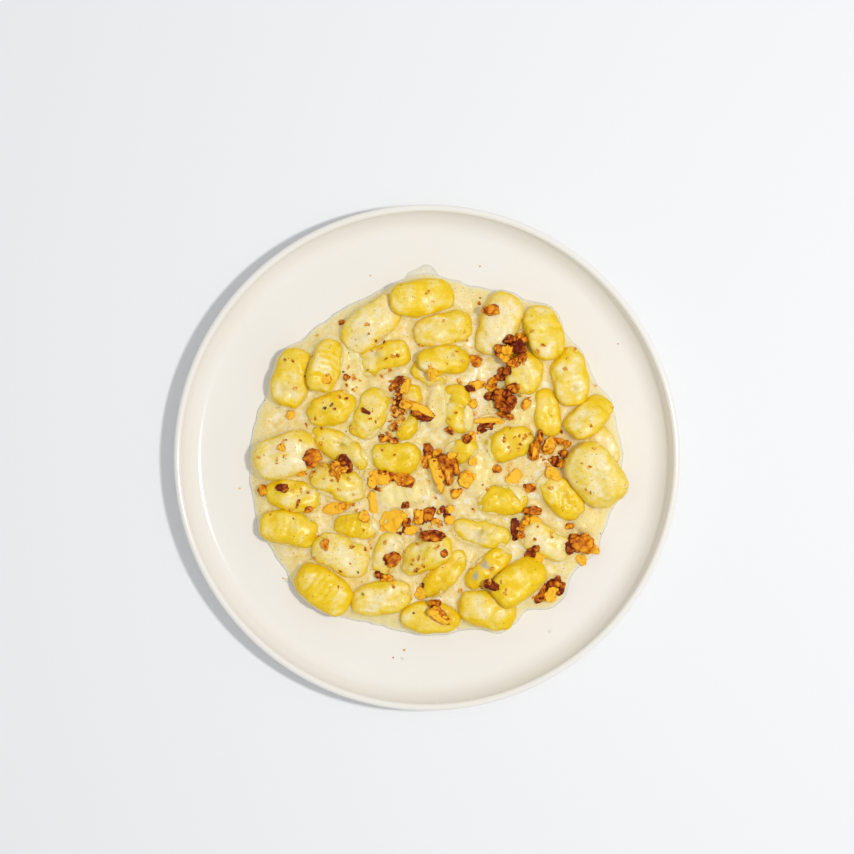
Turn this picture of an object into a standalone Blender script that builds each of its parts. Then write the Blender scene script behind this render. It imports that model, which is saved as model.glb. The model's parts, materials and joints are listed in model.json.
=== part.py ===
"""Potato gnocchi in a cream sauce with broken walnuts, on a round glazed plate with a low upright rim.

Units are metres and +Z is up. The origin is the middle of the plate's foot, on the table.
Each gnocco and each large piece of walnut is its own solid. They are set down one after another,
so that a later one rests on those before it, and where two press together both are flat there.
"""
import math
from dataclasses import dataclass, field

import bmesh
import bpy
import numpy as np
from mathutils import Matrix, noise

MM = 0.001
GAP = 0.3 * MM  # left between any two solids that touch

# The plate, as radii from its middle and heights above the table
PLATE_RADIUS = 132.5 * MM
PLATE_HEIGHT = 21 * MM
PLATE_SEGMENTS = 48
LIP_THICKNESS = 3.6 * MM
WELL_RADIUS = 117.5 * MM  # the flat floor inside, up to where the wall begins to curve
WELL_TOP = 6.5 * MM
WELL_UNDERSIDE = 2 * MM
FOOT_RADIUS = 104 * MM
FOOT_WIDTH = 6.5 * MM
OUTER_CURVE_RADIUS = 116 * MM  # where the underside turns up into the outer wall

# The sauce
FILM = 1.4 * MM  # height of the lowest gnocchi above the well, with the sauce that runs beneath them
SAUCE_BOTTOM = WELL_TOP + GAP
SAUCE_DEPTH = 8 * MM  # in the middle
SAUCE_EDGE_DEPTH = 3.8 * MM
SAUCE_SEGMENTS = 48
SAUCE_OUTLINE = (  # bearing in degrees, counted from +X towards +Y, and radius in mm
    (0, 102), (14, 101), (24, 97), (36, 97), (48, 100), (58, 99), (68, 94.5), (77, 93), (86, 96),
    (92, 100.5), (100, 94), (108, 90.5), (122, 90.5), (136, 90.5), (148, 92), (158, 91), (169, 94),
    (180, 94), (194, 95.5), (208, 94), (220, 97), (231, 100), (243, 94), (256, 92), (270, 95.5),
    (284, 93), (296, 97.5), (305, 95), (318, 97.5), (333, 100.5), (346, 102), (354, 104),
)

# The gnocchi: short pillows cut from a rope of dough
GNOCCO_FLATNESS = 0.64  # thickness as a share of the width
GNOCCO_THINNEST = 10.5 * MM  # of those that show only in part
GNOCCO_SQUARENESS = 2.6  # exponent of the pillow's section: 2 is an ellipse, and more is boxier
GNOCCO_UNEVENNESS = 0.05  # as a share of the distance from the middle
GNOCCO_SIDES = 8
GNOCCO_RINGS = 4
GNOCCO_SQUASH = 2.6 * MM  # how far a gnocco sinks into what it rests on

# Where each gnocco lies, those at the bottom first:
# x and y of its middle, the bearing of its long axis in degrees, its length and its width, in mm
GNOCCHI = (
    (-70.5, 42, 75, 31, 21), (-29, 70, 42, 36, 20.5), (8.5, 67, 12, 30, 19), (-23, 52, 20, 29, 17),
    (1, 44, -25, 20, 14), (38, 70, 70, 34, 22), (51, 45, 80, 24, 20), (-50, 25.5, 22, 27, 18),
    (-74, 1, 20, 34, 24), (-47, -13, -20, 31, 19), (-8.5, 33, 102, 20, 12), (-12, 15.5, 35, 18, 13),
    (-16, 0, -10, 27, 18), (16, 25.5, 105, 27, 17), (18, 3, 10, 19, 14), (63, 23.5, 95, 26, 15),
    (93, 6.5, -60, 22, 13), (70, -20, -45, 30, 17), (28, -40, -10, 32, 15), (62, -44, -25, 28, 17),
    (-72.5, -37.5, -10, 31, 18.5), (-54.5, -69, -38, 33, 21), (-45.5, -51, -22, 32, 20),
    (-20.5, -50, 65, 24, 16), (-24, -73.5, 10, 32, 18.5), (9, -61, 48, 30, 15), (1.5, -84, -5, 31, 17),
    (32, -58, 40, 30, 14), (-53.5, 48, 72, 29, 18.5), (-3, 84, 8, 34.5, 20), (9, 51, 5, 28, 16),
    (61, 65, 110, 30, 20.5), (75, 42, 100, 30, 20.5), (-29.5, 23, 65, 28.5, 18), (-46, 5, -32, 35, 16),
    (-70, -20.5, -12, 30, 17), (43.5, 7.5, 22, 27, 18), (85, 21, 45, 28, 18.5),
    (39.5, -22.5, 3, 27, 17), (-37, -36, -10, 24, 15), (-1, -51, 25, 31, 18),
    (31.5, -80, -15, 30, 20), (48, -65, 38, 32, 20.5), (88.5, -9.5, -50, 35.5, 27),
)

# The walnuts: broken kernels, each with its height too
WALNUT_SQUARENESS = 2.0
WALNUT_UNEVENNESS = 0.16
WALNUT_SUNK = 2.5 * MM  # how far those that lie on no gnocco dip into the sauce
WALNUT_SQUASH = 1 * MM
WALNUT_DETAIL = 2  # subdivisions of the icosahedron that each starts from
WALNUTS = (
    (-5, 25, -28, 17, 7, 5.5), (-45, -5, 40, 12, 11, 6.5), (-27, -11, -15, 17, 10, 6.5),
    (10, -8, 75, 22, 15, 9), (-16, -33, 30, 15, 13, 7), (33, 19, 5, 15, 8, 6),
    (40, 31, 60, 18, 16, 8), (45, 57, 30, 17, 15, 7.5), (58, 7, 80, 16, 7, 6.5),
    (69, 3, -20, 15, 11, 6.5), (55, -30, 70, 11, 10, 6), (81, -47, 20, 17, 14, 7.5),
    (65, -70, 60, 19, 13, 7.5), (7, -81, -45, 16, 8, 6.5),
)


def sphere_directions(count):
    """Unit vectors spread evenly over a sphere, along a spiral from pole to pole."""
    golden_turn = math.pi * (3 - math.sqrt(5))
    height = 1 - (2 * np.arange(count) + 1) / count
    bearing = golden_turn * np.arange(count)
    across = np.sqrt(1 - height**2)
    return np.column_stack([across * np.cos(bearing), across * np.sin(bearing), height])


DIRECTIONS = sphere_directions(700)
TILTS = [math.radians(angle) for angle in (0, -9, 9, -18, 18)]
UP = np.array([0.0, 0.0, 1.0])


def turned(bearing, pitch, roll):
    """The axes, as columns, of a piece turned about Z, then pitched end over end, then rolled."""
    turn = Matrix.Rotation(bearing, 3, "Z")
    return np.array(turn @ Matrix.Rotation(pitch, 3, "Y") @ Matrix.Rotation(roll, 3, "X"))


@dataclass(eq=False)
class Piece:
    """A pillow-shaped piece of food, with the flat faces where others press on it."""

    name: str
    centre: np.ndarray
    bearing: float
    half_size: np.ndarray
    squareness: float
    axes: np.ndarray = None
    presses: list = field(default_factory=list)  # (normal, distance from the centre)

    def reach(self, directions):
        """How far the piece goes from its centre along each direction."""
        power = self.squareness / (self.squareness - 1)
        return (np.abs(directions @ self.axes * self.half_size) ** power).sum(axis=1) ** (1 / power)


def widest_gap(one, other):
    """The widest gap that a plane between two pieces leaves, or minus their overlap, and its normal."""
    gaps = DIRECTIONS @ (other.centre - one.centre) - one.reach(DIRECTIONS) - other.reach(-DIRECTIONS)
    best = gaps.argmax()
    return gaps[best], DIRECTIONS[best]


def neighbours(piece, others):
    """Those of the others that come near the piece in plan."""
    return [
        other
        for other in others
        if math.dist(piece.centre[:2], other.centre[:2]) < piece.half_size[0] + other.half_size[0]
    ]


def set_down(piece, others, lowest, squash):
    """Give the piece the tilt in which it comes to rest lowest, on the others or on the sauce's floor."""
    step = 0.4 * MM
    near = neighbours(piece, others)
    best = None
    for pitch in TILTS:
        for roll in TILTS:
            piece.axes = turned(piece.bearing, pitch, roll)
            piece.centre[2] = lowest + piece.reach(-UP[None])[0]
            while any(widest_gap(piece, other)[0] < -squash for other in near):
                piece.centre[2] += step
            effort = piece.centre[2] + 0.5 * step * (pitch**2 + roll**2)
            if best is None or effort < best[0]:
                best = effort, piece.centre[2], piece.axes
    _, piece.centre[2], piece.axes = best


def press_together(one, other):
    """Where two pieces meet, flatten both on the plane midway between them."""
    near_enough = 2.5 * MM
    gap, normal = widest_gap(one, other)
    if gap > near_enough:
        return
    from_one = one.reach(normal[None])[0] + gap / 2
    from_other = (other.centre - one.centre) @ normal - from_one
    one.presses.append((normal, from_one - GAP / 2))
    other.presses.append((-normal, from_other - GAP / 2))


def mesh_object(name, vertices, faces, material):
    """An object in the scene with this mesh, shaded smooth."""
    mesh = bpy.data.meshes.new(name)
    mesh.from_pydata([tuple(vertex) for vertex in vertices], [], faces)
    mesh.materials.append(material)
    mesh.shade_smooth()
    made = bpy.data.objects.new(name, mesh)
    bpy.context.scene.collection.objects.link(made)
    return made


def ring_faces(rings, sides):
    """Faces of a closed skin: a point, then rings of points, then a point. Counterclockwise rings
    that start at the low end face outwards."""
    last = 1 + rings * sides
    faces = []
    for side in range(sides):
        beside = (side + 1) % sides
        faces.append((0, 1 + beside, 1 + side))
        for ring in range(rings - 1):
            low, high = 1 + ring * sides, 1 + (ring + 1) * sides
            faces.append((low + side, low + beside, high + beside, high + side))
        faces.append((last - sides + side, last - sides + beside, last))
    return faces


def turned_points(profile, sides, start=0.0):
    """Points of a skin turned about Z, from a profile of (radius, height) whose ends are on the axis."""
    points = [(0.0, 0.0, profile[0][1])]
    for radius, height in profile[1:-1]:
        for side in range(sides):
            bearing = start + 2 * math.pi * side / sides
            points.append((radius * math.cos(bearing), radius * math.sin(bearing), height))
    points.append((0.0, 0.0, profile[-1][1]))
    return np.array(points)


def signed_power(values, power):
    return np.sign(values) * np.abs(values) ** power


def pillow(squareness):
    """Points and faces of a pillow of half size 1, its rings round the X axis."""
    angles = [math.pi * (ring / (GNOCCO_RINGS + 1) - 0.5) for ring in range(GNOCCO_RINGS + 2)]
    profile = [(math.cos(angle), math.sin(angle)) for angle in angles]
    points = turned_points(profile, GNOCCO_SIDES, start=math.pi / GNOCCO_SIDES)
    along_x = points[:, [2, 0, 1]]
    return signed_power(along_x, 2 / squareness), ring_faces(GNOCCO_RINGS, GNOCCO_SIDES)


def kernel():
    """Points and faces of the ball of triangles that a walnut piece starts from."""
    ball = bmesh.new()
    bmesh.ops.create_icosphere(ball, subdivisions=WALNUT_DETAIL, radius=1)
    points = np.array([vertex.co for vertex in ball.verts])
    faces = [tuple(vertex.index for vertex in face.verts) for face in ball.faces]
    ball.free()
    return points, faces


def shaped(piece, form, unevenness, seed, grown=0.0):
    """The form at the piece's size and place, uneven, and flat where others press on it.

    Each point only moves along its line from the centre, so the skin never crosses itself.
    grown makes the whole piece larger all round, for the hollow that it leaves in the sauce.
    """
    offset = piece.axes * piece.half_size @ form.T
    points = offset.T
    lumps = [noise.noise(point * 1.7 + seed * UP) for point in form]
    points = points * (1 + unevenness * np.array(lumps))[:, None]
    for normal, distance in piece.presses:
        along = points @ normal
        beyond = along > distance
        points[beyond] *= (distance / along[beyond])[:, None]
    distances = np.linalg.norm(points, axis=1, keepdims=True)
    return piece.centre + points * (1 + grown / distances)


def plate_profile():
    """Radius and height of points round the plate's half section, from below to above."""
    quarter = math.pi / 2
    lip = LIP_THICKNESS / 2
    lip_height = PLATE_HEIGHT - lip
    lip_middle = PLATE_RADIUS - lip
    foot_side = 1.2 * MM  # how far each side of the foot ring leans out above the table
    outer_foot = 2.4 * MM
    profile = [
        (0, WELL_UNDERSIDE),
        (FOOT_RADIUS - FOOT_WIDTH - foot_side, WELL_UNDERSIDE),
        (FOOT_RADIUS - FOOT_WIDTH, 0),
        (FOOT_RADIUS, 0),
        (FOOT_RADIUS + foot_side, outer_foot),
    ]
    for angle in (0, 0.4 * quarter, 0.75 * quarter, quarter):
        radius = OUTER_CURVE_RADIUS + (PLATE_RADIUS - OUTER_CURVE_RADIUS) * math.sin(angle)
        profile.append((radius, outer_foot + (lip_height - outer_foot) * (1 - math.cos(angle))))
    for angle in (0.7 * quarter, 1.3 * quarter):
        profile.append((lip_middle + lip * math.cos(angle), lip_height + lip * math.sin(angle)))
    inner_radius = lip_middle - lip
    for angle in (0.95 * quarter, 0.65 * quarter, 0.35 * quarter, 0):
        radius = WELL_RADIUS + (inner_radius - WELL_RADIUS) * math.sin(angle)
        profile.append((radius, WELL_TOP + (lip_height - WELL_TOP) * (1 - math.cos(angle))))
    profile.append((0, WELL_TOP))
    return profile


def make_plate(material):
    profile = plate_profile()
    points = turned_points(profile, PLATE_SEGMENTS)
    highest = points[:, 2].max()
    points[:, 2] *= PLATE_HEIGHT / highest
    return mesh_object("plate", points, ring_faces(len(profile) - 2, PLATE_SEGMENTS), material)


def sauce_radius(bearings):
    """The puddle's radius at each bearing in degrees: a smooth line through the outline's points."""
    fine = np.arange(0, 360, 1.0)
    known, radii = np.array(SAUCE_OUTLINE).T
    line = np.interp(fine, known, radii * MM, period=360)
    softening = np.exp(-(np.arange(-6, 7) ** 2) / 18)
    softening /= softening.sum()
    line = sum(share * np.roll(line, shift) for share, shift in zip(softening, range(-6, 7)))
    return np.interp(bearings, fine, line, period=360)


def sauce_depth(x, y):
    """How deep the sauce is at a place, before the food is laid in it."""
    edge = sauce_radius(np.array([math.degrees(math.atan2(y, x)) % 360]))[0]
    share = math.hypot(x, y) / edge
    return float(np.interp(share, (0.75, 0.96), (SAUCE_DEPTH, SAUCE_EDGE_DEPTH)))


def sauce_block():
    """Points and faces of the puddle before the food is cut out of it: level in the middle, lower
    towards its rounded edge, and flat beneath."""
    sections = [(0, 0), (0.97, 0), (1, 0.4 * SAUCE_EDGE_DEPTH), (0.96, SAUCE_EDGE_DEPTH)]
    sections += [(0.75, SAUCE_DEPTH), (0, SAUCE_DEPTH)]  # share of the radius, and height
    profile = [(share, SAUCE_BOTTOM + height) for share, height in sections]
    points = turned_points(profile, SAUCE_SEGMENTS)[1:-1]
    radii = sauce_radius(np.degrees(np.arctan2(points[:, 1], points[:, 0])) % 360)
    points[:, :2] *= radii[:, None]
    skin = [face for face in ring_faces(len(profile) - 2, SAUCE_SEGMENTS) if len(face) == 4]
    sides = [tuple(corner - 1 for corner in face) for face in skin]
    around = range(SAUCE_SEGMENTS)
    above = tuple(len(points) - SAUCE_SEGMENTS + corner for corner in around)
    return points, sides + [tuple(reversed(around)), above]


def keep_largest_body(mesh):
    """Delete loose scraps, such as a thread of sauce shut in between three gnocchi."""
    cleaned = bmesh.new()
    cleaned.from_mesh(mesh)
    waiting = set(cleaned.verts)
    bodies = []
    while waiting:
        body = set()
        edge_of_body = {waiting.pop()}
        while edge_of_body:
            vertex = edge_of_body.pop()
            body.add(vertex)
            edge_of_body |= {edge.other_vert(vertex) for edge in vertex.link_edges} - body
        waiting -= body
        bodies.append(body)
    bodies.sort(key=len)
    bmesh.ops.delete(cleaned, geom=[vertex for body in bodies[:-1] for vertex in body], context="VERTS")
    cleaned.to_mesh(mesh)
    cleaned.free()


def make_sauce(hollows, material):
    """The puddle with a hollow for each piece of food that stands in it."""
    sauce = mesh_object("sauce", *sauce_block(), material)
    cutters = bpy.data.collections.new("hollows")
    for number, (points, faces) in enumerate(hollows):
        cutter = mesh_object(f"hollow_{number}", points, faces, material)
        bpy.context.scene.collection.objects.unlink(cutter)
        cutters.objects.link(cutter)
    cut = sauce.modifiers.new("hollows", "BOOLEAN")
    cut.operation = "DIFFERENCE"
    cut.operand_type = "COLLECTION"
    cut.collection = cutters
    cut.solver = "EXACT"
    bpy.context.view_layer.update()
    evaluated = sauce.evaluated_get(bpy.context.evaluated_depsgraph_get())
    cut_mesh = bpy.data.meshes.new_from_object(evaluated)
    sauce.modifiers.clear()
    sauce.data = cut_mesh
    keep_largest_body(cut_mesh)
    for cutter in list(cutters.objects):
        bpy.data.objects.remove(cutter)
    bpy.data.collections.remove(cutters)
    return sauce


def food_material(name, colour, roughness, subsurface=0.0, coat=0.0):
    """A Principled material that isn't metal. The colour is linear red, green and blue."""
    material = bpy.data.materials.new(name)
    material.use_nodes = True
    shader = material.node_tree.nodes["Principled BSDF"]
    shader.inputs["Base Color"].default_value = (*colour, 1)
    shader.inputs["Metallic"].default_value = 0
    shader.inputs["Roughness"].default_value = roughness
    shader.inputs["Subsurface Weight"].default_value = subsurface
    shader.inputs["Subsurface Scale"].default_value = 2 * MM
    shader.inputs["Coat Weight"].default_value = coat
    return material


def lay_out_gnocchi():
    """The gnocchi, each resting on the plate's film of sauce or on those before it."""
    laid = []
    for number, (x, y, bearing, length, width) in enumerate(GNOCCHI, start=1):
        thickness = max(width * GNOCCO_FLATNESS, GNOCCO_THINNEST / MM)
        half_size = np.array([length, width, thickness]) * MM / 2
        centre = np.array([x * MM, y * MM, 0.0])
        gnocco = Piece(f"gnocco_{number:02}", centre, math.radians(bearing), half_size, GNOCCO_SQUARENESS)
        set_down(gnocco, laid, WELL_TOP + FILM, GNOCCO_SQUASH)
        laid.append(gnocco)
    return laid


def lay_out_walnuts(gnocchi):
    """The walnut pieces, on the gnocchi or half sunk in the sauce between them."""
    laid = []
    for number, (x, y, bearing, length, width, height) in enumerate(WALNUTS, start=1):
        half_size = np.array([length, width, height]) * MM / 2
        centre = np.array([x * MM, y * MM, 0.0])
        walnut = Piece(f"walnut_{number:02}", centre, math.radians(bearing), half_size, WALNUT_SQUARENESS)
        sauce_top = SAUCE_BOTTOM + sauce_depth(x * MM, y * MM)
        set_down(walnut, gnocchi + laid, sauce_top - WALNUT_SUNK, WALNUT_SQUASH)
        laid.append(walnut)
    return laid


def main():
    for old in list(bpy.data.objects):
        bpy.data.objects.remove(old)

    glaze = food_material("glazed_stoneware", (0.86, 0.83, 0.77), 0.12, coat=0.5)
    dough = food_material("potato_dough", (0.87, 0.62, 0.12), 0.35, subsurface=0.3)
    cream = food_material("cream_sauce", (0.87, 0.71, 0.34), 0.25, subsurface=0.3, coat=0.3)
    nut = food_material("walnut_kernel", (0.50, 0.22, 0.03), 0.5)

    gnocchi = lay_out_gnocchi()
    walnuts = lay_out_walnuts(gnocchi)
    food = gnocchi + walnuts
    for number, piece in enumerate(food):
        for other in neighbours(piece, food[:number]):
            press_together(other, piece)
    floor = WELL_TOP + FILM
    for gnocco in gnocchi:
        gnocco.presses.append((-UP, gnocco.centre[2] - floor))

    make_plate(glaze)
    pillow_form = pillow(GNOCCO_SQUARENESS)
    kernel_form = kernel()
    hollow_room = 2.5 * GAP  # a point moves out along its line from the centre, not square to the skin
    hollows = []
    for seed, piece in enumerate(food):
        is_gnocco = piece in gnocchi
        (form, faces), uneven, material = (
            (pillow_form, GNOCCO_UNEVENNESS, dough) if is_gnocco else (kernel_form, WALNUT_UNEVENNESS, nut)
        )
        mesh_object(piece.name, shaped(piece, form, uneven, seed), faces, material)
        hollows.append((shaped(piece, form, uneven, seed, grown=hollow_room), faces))
    make_sauce(hollows, cream)


main()
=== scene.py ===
"""Looks for the plated potato gnocchi: glazed plate, cream sauce, gnocchi, walnuts, crumbs and pepper.

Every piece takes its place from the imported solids. Lengths are metres unless a name ends in _MM.
"""

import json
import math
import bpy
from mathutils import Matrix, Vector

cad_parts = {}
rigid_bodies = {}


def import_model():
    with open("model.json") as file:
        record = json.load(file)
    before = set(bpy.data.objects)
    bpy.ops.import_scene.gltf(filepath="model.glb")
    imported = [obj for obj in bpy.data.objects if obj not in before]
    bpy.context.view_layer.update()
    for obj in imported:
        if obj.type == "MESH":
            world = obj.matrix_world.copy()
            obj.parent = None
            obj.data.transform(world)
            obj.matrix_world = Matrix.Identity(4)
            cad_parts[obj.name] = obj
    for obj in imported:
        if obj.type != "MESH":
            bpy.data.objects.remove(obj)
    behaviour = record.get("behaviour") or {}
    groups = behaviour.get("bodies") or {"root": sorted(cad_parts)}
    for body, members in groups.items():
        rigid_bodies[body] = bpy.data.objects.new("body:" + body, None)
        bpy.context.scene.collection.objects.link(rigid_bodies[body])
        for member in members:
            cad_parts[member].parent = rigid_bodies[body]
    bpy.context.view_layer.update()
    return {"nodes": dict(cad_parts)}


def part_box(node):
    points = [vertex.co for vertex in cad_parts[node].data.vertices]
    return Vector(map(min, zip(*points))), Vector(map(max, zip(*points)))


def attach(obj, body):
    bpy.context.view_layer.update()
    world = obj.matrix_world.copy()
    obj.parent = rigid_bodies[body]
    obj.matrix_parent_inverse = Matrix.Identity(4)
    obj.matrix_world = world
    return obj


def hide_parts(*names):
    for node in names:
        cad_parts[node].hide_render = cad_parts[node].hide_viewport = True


bl_info = {
    "name": "Potato gnocchi with walnuts",
    "version": (1, 0, 0),
    "blender": (4, 5, 0),
    "location": "3D View > Sidebar > Gnocchi",
    "description": "Builds a plate of potato gnocchi in cream sauce with broken walnuts",
    "category": "Object",
}

import bpy
import numpy as np
from bpy.props import FloatProperty, FloatVectorProperty, IntProperty, PointerProperty
from mathutils import Vector
from mathutils.bvhtree import BVHTree

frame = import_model()

MM = 0.001
PER_CM2 = 1e4  # square centimetres in a square metre
DOWN, UP = Vector((0, 0, -1)), Vector((0, 0, 1))
OVERHEAD = 0.1  # a height above every piece, from which to look down
PLATE_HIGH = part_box("plate")[1]
SAUCE_LOW, SAUCE_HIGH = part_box("sauce")
GNOCCHI = sorted(name for name in frame["nodes"] if name.startswith("gnocco"))
WALNUTS = sorted(name for name in frame["nodes"] if name.startswith("walnut"))

# How much of each gnocco is bare yellow dough, from 0, all creamed over, to 1, in the order of the nodes
BARE = (
    0.5, 0.15, 0.4, 0.7, 0.75, 0.15, 0.45, 0.75, 0.1, 0.5, 1.0, 1.0, 0.95, 0.9, 0.65, 0.75, 0.05,
    0.85, 0.55, 0.15, 0.6, 0.75, 0.15, 0.3, 0.35, 0.7, 0.75, 0.9, 0.4, 0.5, 0.6, 0.4, 0.45, 0.55,
    0.65, 0.7, 0.8, 0.35, 0.95, 0.9, 0.35, 0.5, 0.7, 0.15,
)
# Depth in mm of the fork's ridges, on the gnocchi that show them
RIDGED_MM = {
    "gnocco_22": 0.34, "gnocco_29": 0.3, "gnocco_21": 0.16, "gnocco_40": 0.24, "gnocco_19": 0.1,
    "gnocco_43": 0.12, "gnocco_32": 0.1, "gnocco_44": 0.14, "gnocco_33": 0.08, "gnocco_01": 0.08,
}
SPOTTED = "gnocco_28"
MOULD_MM = ((30.5, -56.5, 2.9), (25.5, -62, 2.2))  # x, y and radius of the grey spots on it

# Gnocchi that lie wholly under the sauce: x, y, bearing in degrees, length, width and rise, in mm
SUNK_MM = (
    (5, 27, 85, 26, 11, 3.4), (-14, -19, 10, 28, 15, 2.6), (10, -12, -60, 26, 15, 3.0),
    (27, -8, 70, 26, 15, 2.6), (49, 25, 60, 22, 14, 2.6), (-40, 46, 100, 28, 13, 3.0),
    (84, -33, -40, 22, 14, 2.0), (-90, -24, 70, 20, 12, 1.6),
)

# The lobes and splinters that each large piece of walnut is broken into: x, y, bearing in degrees, length,
# width and rise in mm, and how golden it is, from 0, all dark skin, to 1, all broken flesh
LOBES = (
    (
        (-4.5, 26, -25, 18, 4, 0.3, 0.75), (-2.5, 22.5, -15, 13, 4.5, 0, 0.15),
        (-5, 23, -15, 5, 2.5, 0.4, 0.38),
    ),
    (
        (-47.5, -6, 80, 8.5, 6, 0, 0.6), (-44.5, -6.5, 0, 5, 4, 0, 0.5),
        (-42.5, -3, -60, 9, 4.5, 0.3, 0.2),
    ),
    (
        (-24.5, -11.5, -10, 13, 7, 0, 0.78), (-22, -8, -5, 8, 2.5, 0.3, 0.3),
        (-18.5, -10, -40, 5, 4, 0, 0.35), (-26, -16, -10, 5, 2.5, -1, 0),
        (-28.5, -12.5, 90, 6, 4, 0, 0.7),
    ),
    (
        (5.5, -9.5, -75, 18, 4.5, 1, 0.85), (9, -2.5, -60, 9, 5.5, 0, 0.35),
        (10.5, -8, -75, 12, 4.5, 0, 0.45), (14.5, -5, -70, 9, 4.5, 0, 0.4),
        (15.5, -12, 90, 6, 4, -1, 0.02), (11.5, -16, 0, 5, 4, -0.5, 0.08),
        (20.5, -11.5, 60, 8, 7, 0, 0.75), (15.5, -18.5, 20, 6, 4.5, 0, 0.6),
        (5.5, 2, 20, 5, 3.5, 0, 0.6), (13.5, 1, 0, 5, 3, 0, 0.65),
    ),
    (
        (-17, -33, 40, 12, 10, 0, 0.88), (-11, -33.5, 100, 5, 4, 0.3, 0.3),
        (-17, -39.5, -5, 8, 2, -0.8, 0.1), (-8.5, -38, 30, 6, 5, 0, 0.75), (-23, -37, 20, 4, 3, 0, 0.7),
        (-12, -37.5, 90, 5, 2, 0, 0.1),
    ),
    (
        (32, 19.5, 3, 14, 2.5, 0.4, 0.78), (31, 16.5, 15, 10, 5, 0, 0.12),
        (27.5, 13.5, 40, 3, 2, 0, 0.7), (38, 19, 8, 5, 2.5, 0.2, 0.8),
    ),
    (
        (34, 38, 60, 6, 5, 0, 0.5), (33, 32, 20, 5, 4, 0, 0.2), (38, 32, 80, 7, 6, 0.4, 0.3),
        (41.5, 33.5, 90, 5, 4, -0.8, 0.08), (45, 36.5, 30, 6, 5, 0.3, 0.35), (44, 30, 80, 6, 5, 0, 0.3),
        (38.5, 27, 60, 5, 5, 0, 0.3), (42, 25.5, 60, 6, 6, 0, 0.28), (39, 22, 10, 6, 3.5, 0, 0.45),
        (43.5, 21.5, 0, 4, 3.5, 0, 0.4),
    ),
    (
        (42, 56, 0, 5, 5, 0.2, 0.65), (38, 56, 80, 6, 5, 0, 0.4), (43, 61.5, 20, 6, 4, 0, 0.2),
        (49.5, 62, 40, 5, 5, 0, 0.5), (50, 55, 90, 8, 4, 0, 0.35), (46.5, 58, 0, 7.5, 7, -0.3, 0.06),
        (44.5, 50, -10, 7, 4, 0, 0.45), (48, 51, 90, 5, 4, 0, 0.4), (40, 52.5, -30, 5, 3.5, 0, 0.65),
    ),
    ((56.5, 4, 75, 9, 5, 0, 0.4), (59, 10.5, 80, 7, 3.5, 0, 0.4), (56.5, 2.5, 75, 5, 2.5, 0.4, 0.7)),
    (
        (64, 6, 60, 8, 6, 0, 0.65), (69, 8.5, -10, 8, 3, 0.3, 0.5), (74, 5.5, 100, 6, 4, 0, 0.4),
        (71.5, 2, 0, 4, 3.5, 0, 0.35), (67.5, -2, -60, 6, 5, -0.5, 0.15), (71, -3, 30, 5, 4, 0, 0.55),
    ),
    ((55, -28, 0, 9, 4, 0.2, 0.35), (57, -32.5, -10, 6, 4, 0, 0.75), (52, -33, 70, 5, 3.5, 0, 0.6)),
    (
        (80.5, -45, -20, 13, 8, 0, 0.45), (75, -47.5, 90, 6, 4, 0, 0.15), (88, -49, -15, 7, 4, 0, 0.85),
        (81.5, -53.5, -65, 8, 4, 0, 0.85), (83, -42, 20, 5, 3, 0.3, 0.5),
    ),
    (
        (67, -66, 20, 7.5, 4.5, 0.3, 0.25), (70.5, -69.5, 80, 7, 3.5, 0, 0.2),
        (65.5, -72, 65, 8, 5.5, 0.2, 0.85), (60.5, -71, 65, 9, 4, 0, 0.3),
        (59.5, -75, 30, 5, 3, 0, 0.1),
    ),
    (
        (4, -76.5, 0, 6, 4, 0, 0.45), (6.5, -80.5, -38, 11, 3, 0.3, 0.45), (7, -83, -38, 12, 5, 0, 0.8),
        (9, -87, -10, 6, 1.5, -0.5, 0.1),
    ),
)
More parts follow.
